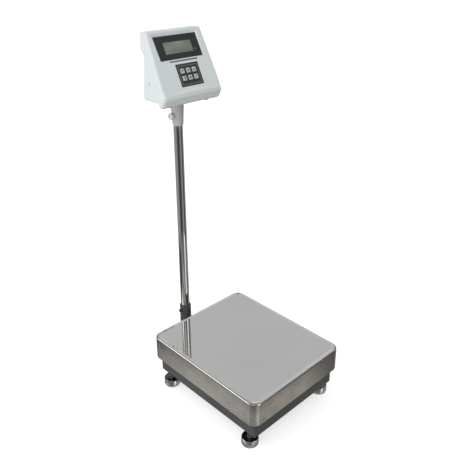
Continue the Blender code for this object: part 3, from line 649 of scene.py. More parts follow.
def tube_along(path, radius, sides=14):
    """A round tube along a smooth route, with even rings that don't twist."""
    side = (path[1] - path[0]).normalized().orthogonal().normalized()
    rings = []
    for i, at in enumerate(path):
        ahead = (path[min(i + 1, len(path) - 1)] - path[max(i - 1, 0)]).normalized()
        side = (side - ahead * side.dot(ahead)).normalized()
        rings.append(ring_round(at, side, ahead.cross(side), radius, sides))
    return loft(rings)


# ---------------------------------------------------------------- making pieces


def from_bmesh(name, shape, *surfaces):
    bmesh.ops.remove_doubles(shape, verts=shape.verts, dist=1e-7)
    bmesh.ops.recalc_face_normals(shape, faces=shape.faces)
    mesh = bpy.data.meshes.new(name)
    shape.to_mesh(mesh)
    shape.free()
    for given in surfaces:
        mesh.materials.append(given)
    return in_scene(name, mesh)


def merged(shapes):
    """One bmesh that holds all of these."""
    whole = bmesh.new()
    for shape in shapes:
        mesh = bpy.data.meshes.new("part")
        shape.to_mesh(mesh)
        shape.free()
        whole.from_mesh(mesh)
        bpy.data.meshes.remove(mesh)
    return whole


def cut(made, operation, *shapes):
    """Applies Booleans with these bmeshes, which are then gone."""
    tools = [from_bmesh("cutter", shape) for shape in shapes]
    for tool in tools:
        step = made.modifiers.new("cut", "BOOLEAN")
        step.operation = operation
        step.solver = "EXACT"
        step.object = tool
    graph = bpy.context.evaluated_depsgraph_get()
    mesh = bpy.data.meshes.new_from_object(made.evaluated_get(graph), depsgraph=graph)
    old = made.data
    made.modifiers.clear()
    made.data = mesh
    bpy.data.meshes.remove(old)
    for tool in tools:
        bpy.data.objects.remove(tool, do_unlink=True)


def finish_piece(made, body, stands_for=(), sharp=35.0):
    """Smooths the piece, hangs it on its body and hides the CAD parts that it stands for."""
    for polygon in made.data.polygons:
        polygon.use_smooth = True
    made.data.set_sharp_from_angle(angle=math.radians(sharp))
    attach(made, body)
    if stands_for:
        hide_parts(*stands_for)


def piece(name, shapes, finish, body, *stands_for, holes=()):
    """A piece of one shape, or of a list of them, less its holes."""
    material, slot_name = finish
    made = from_bmesh(name, merged(shapes) if isinstance(shapes, list) else shapes, material)
    if holes:
        cut(made, "DIFFERENCE", *holes)
    finish_piece(made, body, stands_for)


def even(made):
    """Shades from the large faces, so that flats look flat beside their rounded edges."""
    step = made.modifiers.new("even", "WEIGHTED_NORMAL")
    step.keep_sharp = True
    step.weight = 60


# ---------------------------------------------------------------- platter


def platter_pan():
    """A pressed pan: a mirror-polished top with a narrow border, and a brushed skirt with a turned-in hem."""
    sheet, edge, sink, corner = 0.0012, 0.007, 0.0011, 0.03
    width, depth, _ = size_of("platter")
    low, top = PLATTER_LOW[2], PLATTER_TOP

    def ring(inset, height):
        outline = rounded_rectangle(width / 2 - inset, depth / 2 - inset, max(corner - inset, 0.004), 14)
        return [(x, PLATTER_Y + y, height) for x, y in outline]

    def bend(start, radius, steps):
        """The rounded edge, from the skirt up to the border."""
        angles = [math.pi / 2 * k / steps for k in range(steps + 1)]
        return [(start + radius * (1 - math.cos(angle)), top - edge + radius * math.sin(angle))
                for angle in angles]

    hem = [(sheet, low), (0.0003, low), (0.0, low + 0.0003)]
    border = [(0.0088, top), (0.0094, top - 0.00008), (0.0126, top - sink + 0.00008), (0.0132, top - sink),
              (0.015, top - sink), (0.15, top - sink)]
    outside = hem + bend(0.0, edge, 9) + border
    inside = [(inset, height - sheet) for inset, height in reversed(border)]
    inside += reversed(bend(sheet, edge - sheet, 6))
    shape = bmesh.new()
    outer, inner = ([[shape.verts.new(point) for point in ring(*at)] for at in half]
                    for half in (outside, inside))
    for rows in (outer, inner):
        for before, after in zip(rows, rows[1:]):
            skin(shape, before, after)
    skin(shape, inner[-1], outer[0])
    shape.faces.new(outer[-1])
    shape.faces.new(inner[0])
    polish, slot_name = PLATTER_TOP_FINISH
    made = from_bmesh("platter_pan", shape, polish, SKIRT_METAL, RIM_METAL)
    for polygon in made.data.polygons:
        if polygon.normal.z > 0.998 or 0.93 < polygon.normal.z < 0.97:
            polygon.material_index = 0
        else:
            polygon.material_index = 2 if polygon.normal.z > 0.2 and polygon.center.z > top - edge else 1
    finish_piece(made, "platter", ["platter"], 40)
    even(made)


def buffers_and_stops():
    for word, _, _ in CORNERS:
        node = f"platter_buffer_{word}"
        tall = size_of(node)[2]
        profile = rounded([(0.0, tall - 0.0006), (0.0036, tall - 0.0006), (0.004, tall), (0.0105, tall),
                           (0.0132, tall - 0.004), (0.0145, 0.002), (0.014, 0.0), (0.0, 0.0)], 0.0009)
        piece(f"buffer_{word}", moved(revolve(profile, 48), stand_of(node)), RUBBER, "root", node)

        node = f"overload_stop_{word}"
        tall = size_of(node)[2]
        head = rounded([(0.0, tall), (0.006, tall), (0.008, tall - 0.002), (0.008, tall - 0.006),
                        (0.0046, tall - 0.006)], 0.0006) + [(0.0, tall - 0.0061)]
        shapes = [revolve(head, 40), threaded(0.005, 0.0, tall - 0.0055, 0.0012, 0.0007),
                  hexagon(0.016, 0.0012, 0.0082)]
        piece(f"stop_bolt_{word}", [moved(shape, stand_of(node)) for shape in shapes], ZINC, "root", node)


# ---------------------------------------------------------------- base frame


def foot_place(side, end):
    return shift(side * FOOT_X, PLATTER_Y + end * FOOT_Y, 0)


def mitred_tube(length, centre, along_x, inward):
    """A rounded rectangular tube with ends cut at 45 degrees."""
    wall = 0.0025
    outer = rounded_rectangle(BEAM_W / 2, BEAM_H / 2, 0.0045, 5)
    inner = rounded_rectangle(BEAM_W / 2 - wall, BEAM_H / 2 - wall, 0.002, 5)

    def ring(section, end):
        points = []
        for across, up in section:
            run = end * (length / 2 - GAP / 2 - (across * inward + BEAM_W / 2))
            at = (run, across, up) if along_x else (across, run, up)
            points.append(tuple(Vector(at) + Vector(centre)))
        return points

    return loft([ring(outer, -1), ring(outer, 1), ring(inner, 1), ring(inner, -1)], looped=True)


def base_frame():
    middle = BEAM_Z + BEAM_H / 2
    side_x, end_y = (BASE_W - BEAM_W) / 2, (BASE_D - BEAM_W) / 2
    for word, side in SIDES:
        nuts, bores = [], []
        for end in (-1, 1):
            place = foot_place(side, end)
            nuts.append(moved(hexagon(0.019, -0.05, -0.04), place @ OVER))
            nuts.append(bead_round(side * FOOT_X, PLATTER_Y + end * FOOT_Y, BEAM_Z, 0.011, 24, 0.0014))
            bores.append(moved(rod(0.0064, 0.03, 0.058), place))
        tube = mitred_tube(BASE_D, (side * side_x, PLATTER_Y, middle), False, -side)
        piece(f"beam_{word}", tube, FRAME_PAINT, "root", f"base_beam_{word}", holes=bores)
        piece(f"weld_nuts_{word}", nuts, FRAME_PAINT, "root")
    lead_hole = moved(rod(0.007, -0.025, 0.025), shift(0, PLATTER_Y + end_y, ARM_MIDDLE) @ TO_FRONT)
    for word, end, holes in (("front", -1, []), ("rear", 1, [lead_hole])):
        tube = mitred_tube(BASE_W, (0, PLATTER_Y + end * end_y, middle), True, -end)
        piece(f"beam_{word}", tube, FRAME_PAINT, "root", f"base_beam_{word}", holes=holes)


def frame_welds():
    """Beads at the mitres, the arm and the channels."""
    shapes = []
    for _, side, end in CORNERS:
        outer = Vector((side * BASE_W / 2, PLATTER_Y + end * BASE_D / 2, 0))
        inner = Vector((side * (BASE_W / 2 - BEAM_W), PLATTER_Y + end * (BASE_D / 2 - BEAM_W), 0))
        start, stop = outer.lerp(inner, 0.1), outer.lerp(inner, 0.97)
        for height in (BEAM_TOP - 0.0004, BEAM_Z + 0.0004):
            shapes.append(bead([(start.x, start.y, height), (stop.x, stop.y, height)], 0.0015))
        for at, radius in ((inner, 0.0022), (outer.lerp(inner, 0.045), 0.001)):
            shapes.append(bead([(at.x, at.y, BEAM_Z + 0.004), (at.x, at.y, BEAM_TOP - 0.004)], radius))
    x, y, low, high = ARM_HIGH[0], ARM_LOW[1], ARM_LOW[2], ARM_HIGH[2]
    shapes.append(bead([(-x, y, low), (-x, y, high), (x, y, high), (x, y, low), (-x, y, low)], 0.0022))
    for side in (-1, 1):
        for node in ("base_cross_channel", "upper_cross_channel"):
            low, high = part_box(node)
            for y in (low[1], high[1]):
                x = side * high[0]
                shapes.append(bead([(x, y, low[2] + 0.003), (x, y, high[2] - 0.003)], 0.0018))
    piece("weld_beads", shapes, FRAME_PAINT, "root")


def rear_arm():
    """A rounded box tube, closed at the back, that carries the column's socket."""
    wall = 0.003
    front, back = ARM_LOW[1], ARM_HIGH[1]

    def ring(inset, y, radius):
        outline = rounded_rectangle(ARM_HIGH[0] - inset, (ARM_HIGH[2] - ARM_LOW[2]) / 2 - inset, radius, 5)
        return [(x, y, ARM_MIDDLE + z) for x, z in outline]

    rings = [ring(wall, back - 2 * wall, 0.002), ring(wall, front, 0.002), ring(0.0, front, 0.005)]
    for k in range(6):
        angle = math.pi / 2 * k / 5
        rings.append(ring(wall * (1 - math.cos(angle)), back - wall + wall * math.sin(angle), 0.005))
    hole = moved(rod(0.008, -0.01, 0.01), shift(0, AXIS_Y, ARM_HIGH[2]))
    piece("rear_arm_tube", loft(rings), FRAME_PAINT, "root", "rear_arm", holes=[hole])


def column_socket():
    """A tube socket welded to a bolted flange, with a clamping bolt at its side."""
    foot_z = ARM_HIGH[2] + GAP
    flange = 0.006
    bolt_z = SOCKET_TOP - 0.018
    bore_r, outer_r = TUBE_R + 0.0005, 0.021
    paint, slot_name = FRAME_PAINT
    profile = rounded([(bore_r, foot_z + 0.004), (bore_r, SOCKET_TOP), (outer_r, SOCKET_TOP),
                       (outer_r, foot_z + 0.004)], 0.001)
    made = from_bmesh("socket_tube", moved(revolve(profile, 96), shift(0, AXIS_Y, 0)), paint)
    cut(made, "UNION", block((0.056, 0.058, flange), (0, AXIS_Y, foot_z + flange / 2), 0.001))
    cut(made, "DIFFERENCE", moved(rod(0.008, -0.01, 0.02), shift(0, AXIS_Y, foot_z)),
        moved(rod(0.0033, -0.006, 0.006, 24), shift(-outer_r + 0.001, AXIS_Y, bolt_z) @ TO_RIGHT))
    finish_piece(made, "root", ["column_socket"])
    piece("flange_weld", bead_round(0.0, AXIS_Y, foot_z + 0.0064, 0.0216, 36, 0.002), FRAME_PAINT, "root")

    rim = rounded([(0.0022, 0.0034), (0.0022, 0.0044), (0.004, 0.0044), (0.0043, 0.0006)], 0.0005)
    head = [(0.0, 0.002), (0.0022, 0.002), *rim, (0.0043, 0.0), (0.0, 0.0)]
    screws = [moved(revolve(head), shift(side * 0.0215, AXIS_Y + end * 0.0225, foot_z + flange))
              for side in (-1, 1) for end in (-1, 1)]
    piece("flange_screws", screws, ZINC, "root")

    tip = shift(-TUBE_R - GAP, AXIS_Y, bolt_z) @ TO_LEFT
    shapes = [threaded(0.003, 0.0, 0.006, 0.001, 0.0005), hexagon(0.0112, 0.0056, 0.0115),
              washer(0.0031, 0.0068, 0.0048, 0.0057)]
    piece("socket_bolt", [moved(shape, tip) for shape in shapes], BOLT_DARK, "root", "socket_clamp_bolt")


# ---------------------------------------------------------------- feet


def feet():
    steel, slot_name = FOOT_STEEL
    for word, side, end in CORNERS:
        body = f"foot_{word}"
        place = foot_place(side, end)
        low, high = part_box(f"foot_cup_{word}")
        radius = (high[0] - low[0]) / 2
        sole, top = low[2], high[2]
        cup = ring_rounded([
            (0.0064, top - 0.0014), (0.015, top - 0.0014), (0.0165, top - 0.0022),
            (radius - 0.004, top - 0.0022),
            (radius - 0.0024, top - 0.0002), (radius - 0.0012, top), (radius - 0.0002, top - 0.0012),
            (radius, 0.006), (radius - 0.0008, 0.0028), (radius - 0.0022, sole), (radius - 0.0042, sole),
            (radius - 0.0019, 0.0055), (radius - 0.0018, top - 0.0032), (0.0064, top - 0.0032),
        ], 0.0008, 3)
        made = from_bmesh(f"cup_{word}", moved(revolve(cup, 96), place), steel, CUP_TOP_DARK_REFLECTION)
        # The top faces take the darkened steel, a painted reflection of the frame above.
        for polygon in made.data.polygons:
            reach = math.dist(polygon.center[:2], place.translation[:2])
            polygon.material_index = int(polygon.center.z > top - 0.003 and reach < radius - 0.0008)
        finish_piece(made, body, [f"foot_cup_{word}"])

        inner = radius - 0.0018 - GAP
        pad_top = top - 0.0032 - GAP
        pad = rounded([
            (0.0063, pad_top), (inner, pad_top), (inner, 0.0058),
            (inner - 0.0026, sole), (inner - 0.003, 0.0), (0.018, 0.0), (0.0174, 0.0008), (0.0156, 0.0008),
            (0.015, 0.0), (0.01, 0.0), (0.0094, 0.0008), (0.0076, 0.0008), (0.007, 0.0), (0.0, 0.0),
        ], 0.0005, 3) + [(0.0, 0.006), (0.0063, 0.006)]
        piece(f"sole_{word}", moved(revolve(pad, 72), place), RUBBER, body, f"foot_pad_{word}")

        shapes = [threaded(0.006, 0.0063, STUD_TOP, 0.00175, 0.0009), hexagon(0.018, 0.0294, 0.0364),
                  washer(0.0061, 0.0105, 0.0288, 0.0296)]
        piece(f"stud_{word}", [moved(shape, place) for shape in shapes], ZINC, body, f"foot_stud_{word}")


# ---------------------------------------------------------------- load path

BOLT_PITCH, BOLT_BORE = 0.0125, 0.0043
LOWER_Y, UPPER_Y = PLATTER_Y - 0.053, PLATTER_Y + 0.053


def bolt_bores(y, z, half):
    """Bores for the two bolts of one end of the cell, this far to each side of z."""
    return [moved(rod(BOLT_BORE, -half, half), shift(0, y + step, z)) for step in (-BOLT_PITCH, BOLT_PITCH)]


def channel(name, node, way, bolt_y, bolt_z):
    """A pressed U channel with rounded bends, drilled for two bolts. Its web is on top where way is 1."""
    low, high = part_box(node)
    _, centre_y, centre_z = middle_of(node)
    half_y, half_z = (side / 2 for side in size_of(node)[1:])
    wall = 0.005
    outline = [(-half_y, -half_z), (-half_y, half_z), (half_y, half_z), (half_y, -half_z),
               (half_y - wall, -half_z), (half_y - wall, half_z - wall), (-half_y + wall, half_z - wall),
               (-half_y + wall, -half_z)]
    bends = {1: 0.0065, 2: 0.0065, 5: 0.002, 6: 0.002}
    section = []
    for i, at in enumerate(outline):
        trio = [outline[i - 1], at, outline[(i + 1) % len(outline)]]
        section += rounded(trio, bends.get(i, 0.0006), 5)[1:-1]
    rings = [[(x, centre_y + y, centre_z + way * z) for y, z in section] for x in (low[0], high[0])]
    piece(name, loft(rings), FRAME_PAINT, "root", node, holes=bolt_bores(bolt_y, bolt_z, 0.01))


def load_cell():
    low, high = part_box("load_cell")
    middle = middle_of("load_cell")
    eyes = [moved(rod(0.0135, -0.03, 0.03, 64), shift(0, PLATTER_Y + step, middle[2]) @ TO_RIGHT)
            for step in (-0.014, 0.014)]
    holes = [*eyes, block((0.06, 0.028, 0.01), middle), *bolt_bores(LOWER_Y, low[2], 0.018),
             *bolt_bores(UPPER_Y, high[2], 0.018)]
    solid = block(size_of("load_cell"), middle, 0.0012)
    piece("cell_block", solid, ALUMINIUM, "root", "load_cell", holes=holes)
    patches = [block((0.02, 0.046, 0.0016), (0, PLATTER_Y, level), 0.0007)
               for level in (low[2] + 0.0002, high[2] - 0.0002)]
    piece("cell_gauge_sealant", patches, SEALANT, "root")
    gland = rounded([(0.0028, 0.0), (0.005, 0.0), (0.005, 0.0028), (0.0038, 0.005), (0.0028, 0.005)], 0.0005)
    place = shift(high[0], PLATTER_Y - 0.035, 0.118) @ TO_RIGHT
    piece("cell_cable_gland", moved(revolve(gland), place), CABLE, "root")


def cell_end(word, y, way):
    """The spacer plate at one end of the cell, and its bolts with washers and a strap."""
    node = f"cell_spacer_{word}"
    plate = block(size_of(node), middle_of(node), 0.0005)
    bores = bolt_bores(y, middle_of(node)[2], 0.01)
    piece(f"spacer_plate_{word}", plate, ZINC, "root", node, holes=bores)

    node = f"cell_bolts_{word}"
    low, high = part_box(node)
    head_end = high[2] if way > 0 else low[2]
    shapes = []
    for step in (-BOLT_PITCH, BOLT_PITCH):
        at = shift(0, y + step, head_end) @ (Matrix() if way > 0 else OVER)
        thread = threaded(0.004, low[2] - high[2], -0.007, 0.00125, 0.0006, 24, 5)
        head, ring = hexagon(0.013, -0.0062, 0.0), washer(0.0042, 0.0086, -0.0078, -0.0062)
        shapes += [moved(shape, at) for shape in (head, ring, thread)]
    shapes.append(block((0.018, 0.048, 0.0016), (0, y, head_end - way * 0.0083), 0.0005))
    piece(f"cell_bolt_set_{word}", shapes, ZINC, "root", node)


def upper_rail(word):
    """A rail of the upper frame, and the plugs in its ends."""
    node = f"upper_rail_{word}"
    low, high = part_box(node)
    centre_x, _, centre_z = middle_of(node)
    width, _, tall = size_of(node)
    rings = []
    for inset, radius, y in ((0.0, 0.004, low[1]), (0.0, 0.004, high[1]), (0.0025, 0.002, high[1]),
                             (0.0025, 0.002, low[1])):
        section = rounded_rectangle(width / 2 - inset, tall / 2 - inset, radius, 5)
        rings.append([(centre_x + x, y, centre_z + z) for x, z in section])
    piece(f"rail_{word}", loft(rings, looped=True), FRAME_PAINT, "root", node)
    plugs = [block((0.0246, 0.01, 0.0346), (centre_x, y, centre_z), 0.0018)
             for y in (low[1] + 0.0056, high[1] - 0.0056)]
    piece(f"rail_plugs_{word}", plugs, RUBBER, "root")


def load_path():
    channel("lower_channel", "base_cross_channel", 1, LOWER_Y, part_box("base_cross_channel")[1][2])
    channel("upper_channel", "upper_cross_channel", -1, UPPER_Y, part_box("upper_cross_channel")[0][2])
    load_cell()
    cell_end("lower", LOWER_Y, -1)
    cell_end("upper", UPPER_Y, 1)
    upper_rail("left")
    upper_rail("right")


# ---------------------------------------------------------------- column


def column():
    place = shift(0, AXIS_Y, 0)
    inner = TUBE_R - 0.0015
    profile = ring_rounded([(inner, TUBE_LOW[2]), (TUBE_R, TUBE_LOW[2]), (TUBE_R, TUBE_HIGH[2]),
                            (inner, TUBE_HIGH[2])], 0.0005, 3)
    piece("column_chrome_tube", moved(revolve(profile, 128), place), CHROME, "root", "column_tube")

    low, top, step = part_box("column_sleeve")[0][2], HOUSING_Z - GAP, TUBE_HIGH[2] + 0.0006
    bore = TUBE_R + 0.0004
    knob_z = 0.942
    profile = ring_rounded([
        (0.012, top), (0.0222, top), (0.0216, 0.975), (0.0205, 0.95), (0.0192, 0.925), (0.0183, low + 0.0016),
        (0.0172, low), (bore, low), (bore, step), (0.012, step),
    ], 0.0009, 3)
    plastic, slot_name = SLEEVE
    made = from_bmesh("column_sleeve_moulding", moved(revolve(profile, 96), place), plastic)
    boss = rounded([(0.0, -0.003), (0.0072, -0.003), (0.007, 0.003), (0.0, 0.003)], 0.0008)
    sideways = shift(-0.0205, AXIS_Y, knob_z) @ TO_LEFT
    cut(made, "UNION", moved(revolve(boss, 48), sideways))
    cut(made, "DIFFERENCE", moved(rod(0.0033, -0.006, 0.006), sideways))
    finish_piece(made, "indicator", ["column_sleeve"])

    tip = shift(-TUBE_R - GAP, AXIS_Y, knob_z) @ TO_LEFT
    profile = rounded([(0.004, 0.0186), (0.0062, 0.0185), (0.0078, 0.0178), (0.0096, 0.0172), (0.0112, 0.016),
                       (0.0117, 0.0145), (0.0117, 0.0105), (0.0108, 0.0093), (0.006, 0.0086),
                       (0.006, 0.0082)], 0.001)
    knob = revolve([(0.0, 0.0148), (0.003, 0.0148), (0.0033, 0.0152), (0.0033, 0.0182), (0.0037, 0.0186),
                    *profile, (0.0, 0.0082)], 120)
    ridges, ridge_depth, grip_r, grip_blend = 20, 0.045, 0.01, 0.0012
    for vert in knob.verts:
        radius = math.hypot(vert.co.x, vert.co.y)
        if radius > grip_r:
            wave = max(0.0, math.cos(math.atan2(vert.co.y, vert.co.x) * ridges)) ** 0.5
            grip = 1 - ridge_depth * min(1.0, (radius - grip_r) / grip_blend) * wave
            vert.co.x *= grip
            vert.co.y *= grip
    piece("clamp_knob_grip", moved(knob, tip), KNOB, "clamp_knob", "clamp_knob")
    piece("clamp_knob_screw", moved(threaded(0.003, 0.0, 0.009, 0.001, 0.0005), tip), ZINC, "clamp_knob")


# ---------------------------------------------------------------- indicator

DOWN = Vector((0, -math.sin(FACE_TILT), -math.cos(FACE_TILT)))
OUT = Vector((0, -math.cos(FACE_TILT), math.sin(FACE_TILT)))
FACE_ORIGIN = Vector((0, AXIS_Y + FACE_TOP[0], FACE_TOP[1]))
FACE_TURN = Matrix.Rotation(math.pi / 2 - FACE_TILT, 4, "X")
BACK_Y, WAIST_Y, FLOOR_BACK_Y = 0.0367, 0.0165, 0.027
WINDOW_X, WINDOW_S, WINDOW_W = -0.0015, (0.015, 0.0935), 0.17
WINDOW_MIDDLE = sum(WINDOW_S) / 2
DEEP_TOP, DEEP_LOW = 0.0046, 0.0012
WINDOW_TILT = math.atan2(DEEP_TOP - DEEP_LOW, WINDOW_S[1] - WINDOW_S[0])
WINDOW_TURN = Matrix.Rotation(math.pi / 2 - FACE_TILT - WINDOW_TILT, 4, "X")
LCD_X, LCD_S, LCD_SIZE = -0.002, 0.0555, (0.114, 0.041)
STRIP_X, STRIP_S = 0.002, 0.1
PANEL_X, PANEL_S, PANEL_SIZE, PANEL_T, PANEL_SEAT = 0.0064, 0.147, (0.0905, 0.0728), 0.0012, -0.001
KEY_X, KEY_S, KEY_PITCH, KEY_SIZE = 0.005, (0.1334, 0.157), 0.0236, 0.0155


def on_face(x, s, out=0.0):
    """The point x across, s down the front face and out in front of it."""
    return FACE_ORIGIN + Vector((x, 0, 0)) + DOWN * s + OUT * out


def face_at(x, s, out=0.0):
    return Matrix.Translation(on_face(x, s, out)) @ FACE_TURN


def window_at(x, s, out=0.0):
    """The place x across, s down the window recess's floor and out in front of it."""
    share = (s - WINDOW_S[0]) / (WINDOW_S[1] - WINDOW_S[0])
    base = on_face(x, s, -DEEP_TOP + (DEEP_TOP - DEEP_LOW) * share)
    return Matrix.Translation(base + WINDOW_TURN.to_3x3() @ Vector((0, 0, out))) @ WINDOW_TURN


def half_width(y, z):
    """Each side is one leaning plane that opens downwards and towards the front."""
    at_top, more_below, splay, splay_from = 0.1095, 0.0065, 0.055, 0.02
    return at_top + more_below * (FACE_TOP[1] - z) / (FACE_TOP[1] - HOUSING_Z) + splay * (splay_from - y)


def housing_outline():
    """Dense (y behind the axis, z) points round the housing with its corners rounded."""
    low_y = FACE_TOP[0] - FACE_LENGTH * math.sin(FACE_TILT)
    low_z = FACE_TOP[1] - FACE_LENGTH * math.cos(FACE_TILT)
    front_y = FACE_TOP[0] + (HOUSING_TOP - FACE_TOP[1]) * math.tan(FACE_TILT)
    corners = [
        (front_y, HOUSING_TOP, 0.0076), (low_y, low_z, 0.0125), (low_y + 0.003, low_z - 0.016, 0.0125),
        (low_y + 0.0273, HOUSING_Z, 0.01), (FLOOR_BACK_Y, HOUSING_Z, 0.0092), (WAIST_Y, 1.145, 0.01),
        (BACK_Y, 1.166, 0.008), (BACK_Y, HOUSING_TOP, 0.0096),
    ]
    points = []
    for i, (y, z, radius) in enumerate(corners):
        before, after = corners[i - 1], corners[(i + 1) % len(corners)]
        points += rounded([before[:2], (y, z), after[:2]], radius, 7)[1:-1]
    dense = []
    for at, after in zip(points, points[1:] + points[:1]):
        steps = max(1, round(math.dist(at, after) / 0.02))
        dense += [(at[0] + (after[0] - at[0]) * k / steps, at[1] + (after[1] - at[1]) * k / steps)
                  for k in range(steps)]
    return dense


def smoothstep(value, low, high):
    share = max(0.0, min(1.0, (value - low) / (high - low)))
    return share * share * (3 - 2 * share)


def housing_block():
    """The whole housing as one solid, rounded at its sides, more so at the chin."""
    outline = housing_outline()
    inward, radii = [], []
    for i, (y, z) in enumerate(outline):
        before, after = outline[i - 1], outline[(i + 1) % len(outline)]
        along = Vector((after[0] - before[0], after[1] - before[1])).normalized()
        inward.append(Vector((along.y, -along.x)))
        chin_share = smoothstep(-y, 0.055, 0.085) * (1 - smoothstep(z, 1.03, 1.075))
        radii.append(0.006 + 0.0065 * chin_share)
    middle = Vector((-0.02, 1.11))
    if sum((middle - Vector(at)).dot(way) for at, way in zip(outline, inward)) < 0:
        inward = [-way for way in inward]
    steps = 8

    def ring(side, k):
        angle = math.pi / 2 * k / steps
        points = []
        for (y, z), way, radius in zip(outline, inward, radii):
            inset = radius * (1 - math.cos(angle))
            at_y, at_z = y + way.x * inset, z + way.y * inset
            reach = half_width(at_y, at_z) - radius * (1 - math.sin(angle))
            points.append((side * reach, AXIS_Y + at_y, at_z))
        return points

    return loft([ring(-1, k) for k in range(steps, -1, -1)] + [ring(1, k) for k in range(steps + 1)])


CHIN_HALF, CHIN_END = 0.1212, 0.012
CHIN_Y, CHIN_Z = -0.07, 1.019
CHIN_MIDDLE = [(-0.07, 1.05), (-0.0822, 1.0468), (-0.0893, 1.0375), (-0.0905, 1.025), (-0.079, 1.0),
               (-0.069, 0.9955), (-0.057, 0.997), (-0.052, 1.011)]
CHIN_SIDES = [(-0.07, 1.042), (-0.0862, 1.0385), (-0.0889, 1.03), (-0.089, 1.02), (-0.0785, 0.9985),
              (-0.069, 0.994), (-0.057, 0.996), (-0.052, 1.011)]


def chin():
    """The bulging lip below the face: its upper edge bows, and its ends are rounded."""
    flat = CHIN_HALF - CHIN_END
    angles = [math.pi / 2 * k / 8 for k in range(8, 0, -1)]
    ends = [(-CHIN_HALF + CHIN_END * (1 - math.sin(angle)), 1 - math.cos(angle)) for angle in angles]
    spots = ends + [(flat * k / 12, 0.0) for k in range(-12, 13)]
    spots += [(-x, inset) for x, inset in reversed(ends)]
    rings = []
    for x, inset in spots:
        share = (x / CHIN_HALF) ** 2
        corners = [(a[0] + (b[0] - a[0]) * share, a[1] + (b[1] - a[1]) * share)
                   for a, b in zip(CHIN_MIDDLE, CHIN_SIDES)]
        size = 1 - inset * CHIN_END / 0.025
        rings.append([(x, AXIS_Y + CHIN_Y + (y - CHIN_Y) * size, CHIN_Z + (z - CHIN_Z) * size)
                      for y, z in ring_rounded(corners, 0.009, 5)])
    return loft(rings)


def window_recess():
    """Deep at the top and almost flush at the bottom, with sloping walls."""
    top, low = WINDOW_S
    half = WINDOW_W / 2 + GAP

    def row(s, wider, out):
        return [on_face(WINDOW_X - half - wider, s, out), on_face(WINDOW_X + half + wider, s, out)]

    base = row(top - GAP, 0.0, -DEEP_TOP) + row(low + GAP, 0.0, -DEEP_LOW)[::-1]
    mouth = row(0.004, 0.007, 0.001) + row(low + 0.0022, 0.0022, 0.001)[::-1]
    return loft([base, mouth])


def half_space(way):
    """All that lies in front of the parting plane, where way is -1, or behind it."""
    depth = 0.3
    return block((0.4, depth, 0.4), (0, AXIS_Y + PARTING + way * (depth / 2 + 0.0002), 1.11))


def cavity():
    """The hollow inside both shells."""
    wall = 0.003
    high_z, floor_z, back = HOUSING_TOP - wall, HOUSING_Z + wall, BACK_Y - wall
    nose_z = FACE_TOP[1] - FACE_LENGTH * math.cos(FACE_TILT)

    def inner_face_y(z):
        return FACE_TOP[0] - (FACE_TOP[1] - z) * math.tan(FACE_TILT) + 0.007 / math.cos(FACE_TILT)

    nose_y = inner_face_y(nose_z)
    outline = [
        (inner_face_y(high_z), high_z), (nose_y, nose_z), (nose_y + 0.003, nose_z - 0.012),
        (nose_y + 0.018, floor_z), (FLOOR_BACK_Y - wall, floor_z), (WAIST_Y - wall, 1.1462), (back, 1.1673),
        (back, 1.2076), (0.0258, high_z),
    ]
    return loft([[(side * (half_width(y, z) - wall), AXIS_Y + y, z) for y, z in outline] for side in (-1, 1)])


def housing():
    plastic, slot_name = HOUSING
    recesses = [
        window_recess(),
        moved(pocket((LCD_SIZE[0] + 0.006, LCD_SIZE[1] + 0.006), 0.002, -0.01, 0.006),
              window_at(LCD_X, LCD_S)),
        moved(pocket((PANEL_SIZE[0] + 2 * GAP, PANEL_SIZE[1] + 2 * GAP), 0.0012, PANEL_SEAT, 0.002),
              face_at(PANEL_X, PANEL_S)),
        moved(pocket((3 * KEY_PITCH, 2 * KEY_PITCH), 0.002, -0.01, 0.01), face_at(KEY_X, sum(KEY_S) / 2)),
        moved(pocket((0.113, 0.0044), 0.0016, -0.002, 0.002, 0.0004), face_at(STRIP_X, STRIP_S)),
    ]
    jack_hole = moved(rod(0.0055, -0.015, 0.015, 48), shift(0.07, AXIS_Y + 0.0245, 1.04) @ TO_BACK)
    for word, way in (("front", -1), ("rear", 1)):
        made = from_bmesh(f"{word}_shell", housing_block(), plastic)
        cut(made, "INTERSECT", half_space(way))
        if word == "front":
            cut(made, "UNION", chin())
        hollows = [cavity(), moved(rod(0.01, -0.01, 0.01, 48), shift(0, AXIS_Y, HOUSING_Z))]
        if word == "front":
            cut(made, "DIFFERENCE", *hollows)
            cut(made, "DIFFERENCE", *recesses)
        else:
            cut(made, "DIFFERENCE", *hollows, jack_hole)
        finish_piece(made, "indicator", [f"indicator_{word}_shell"], 28)
        even(made)


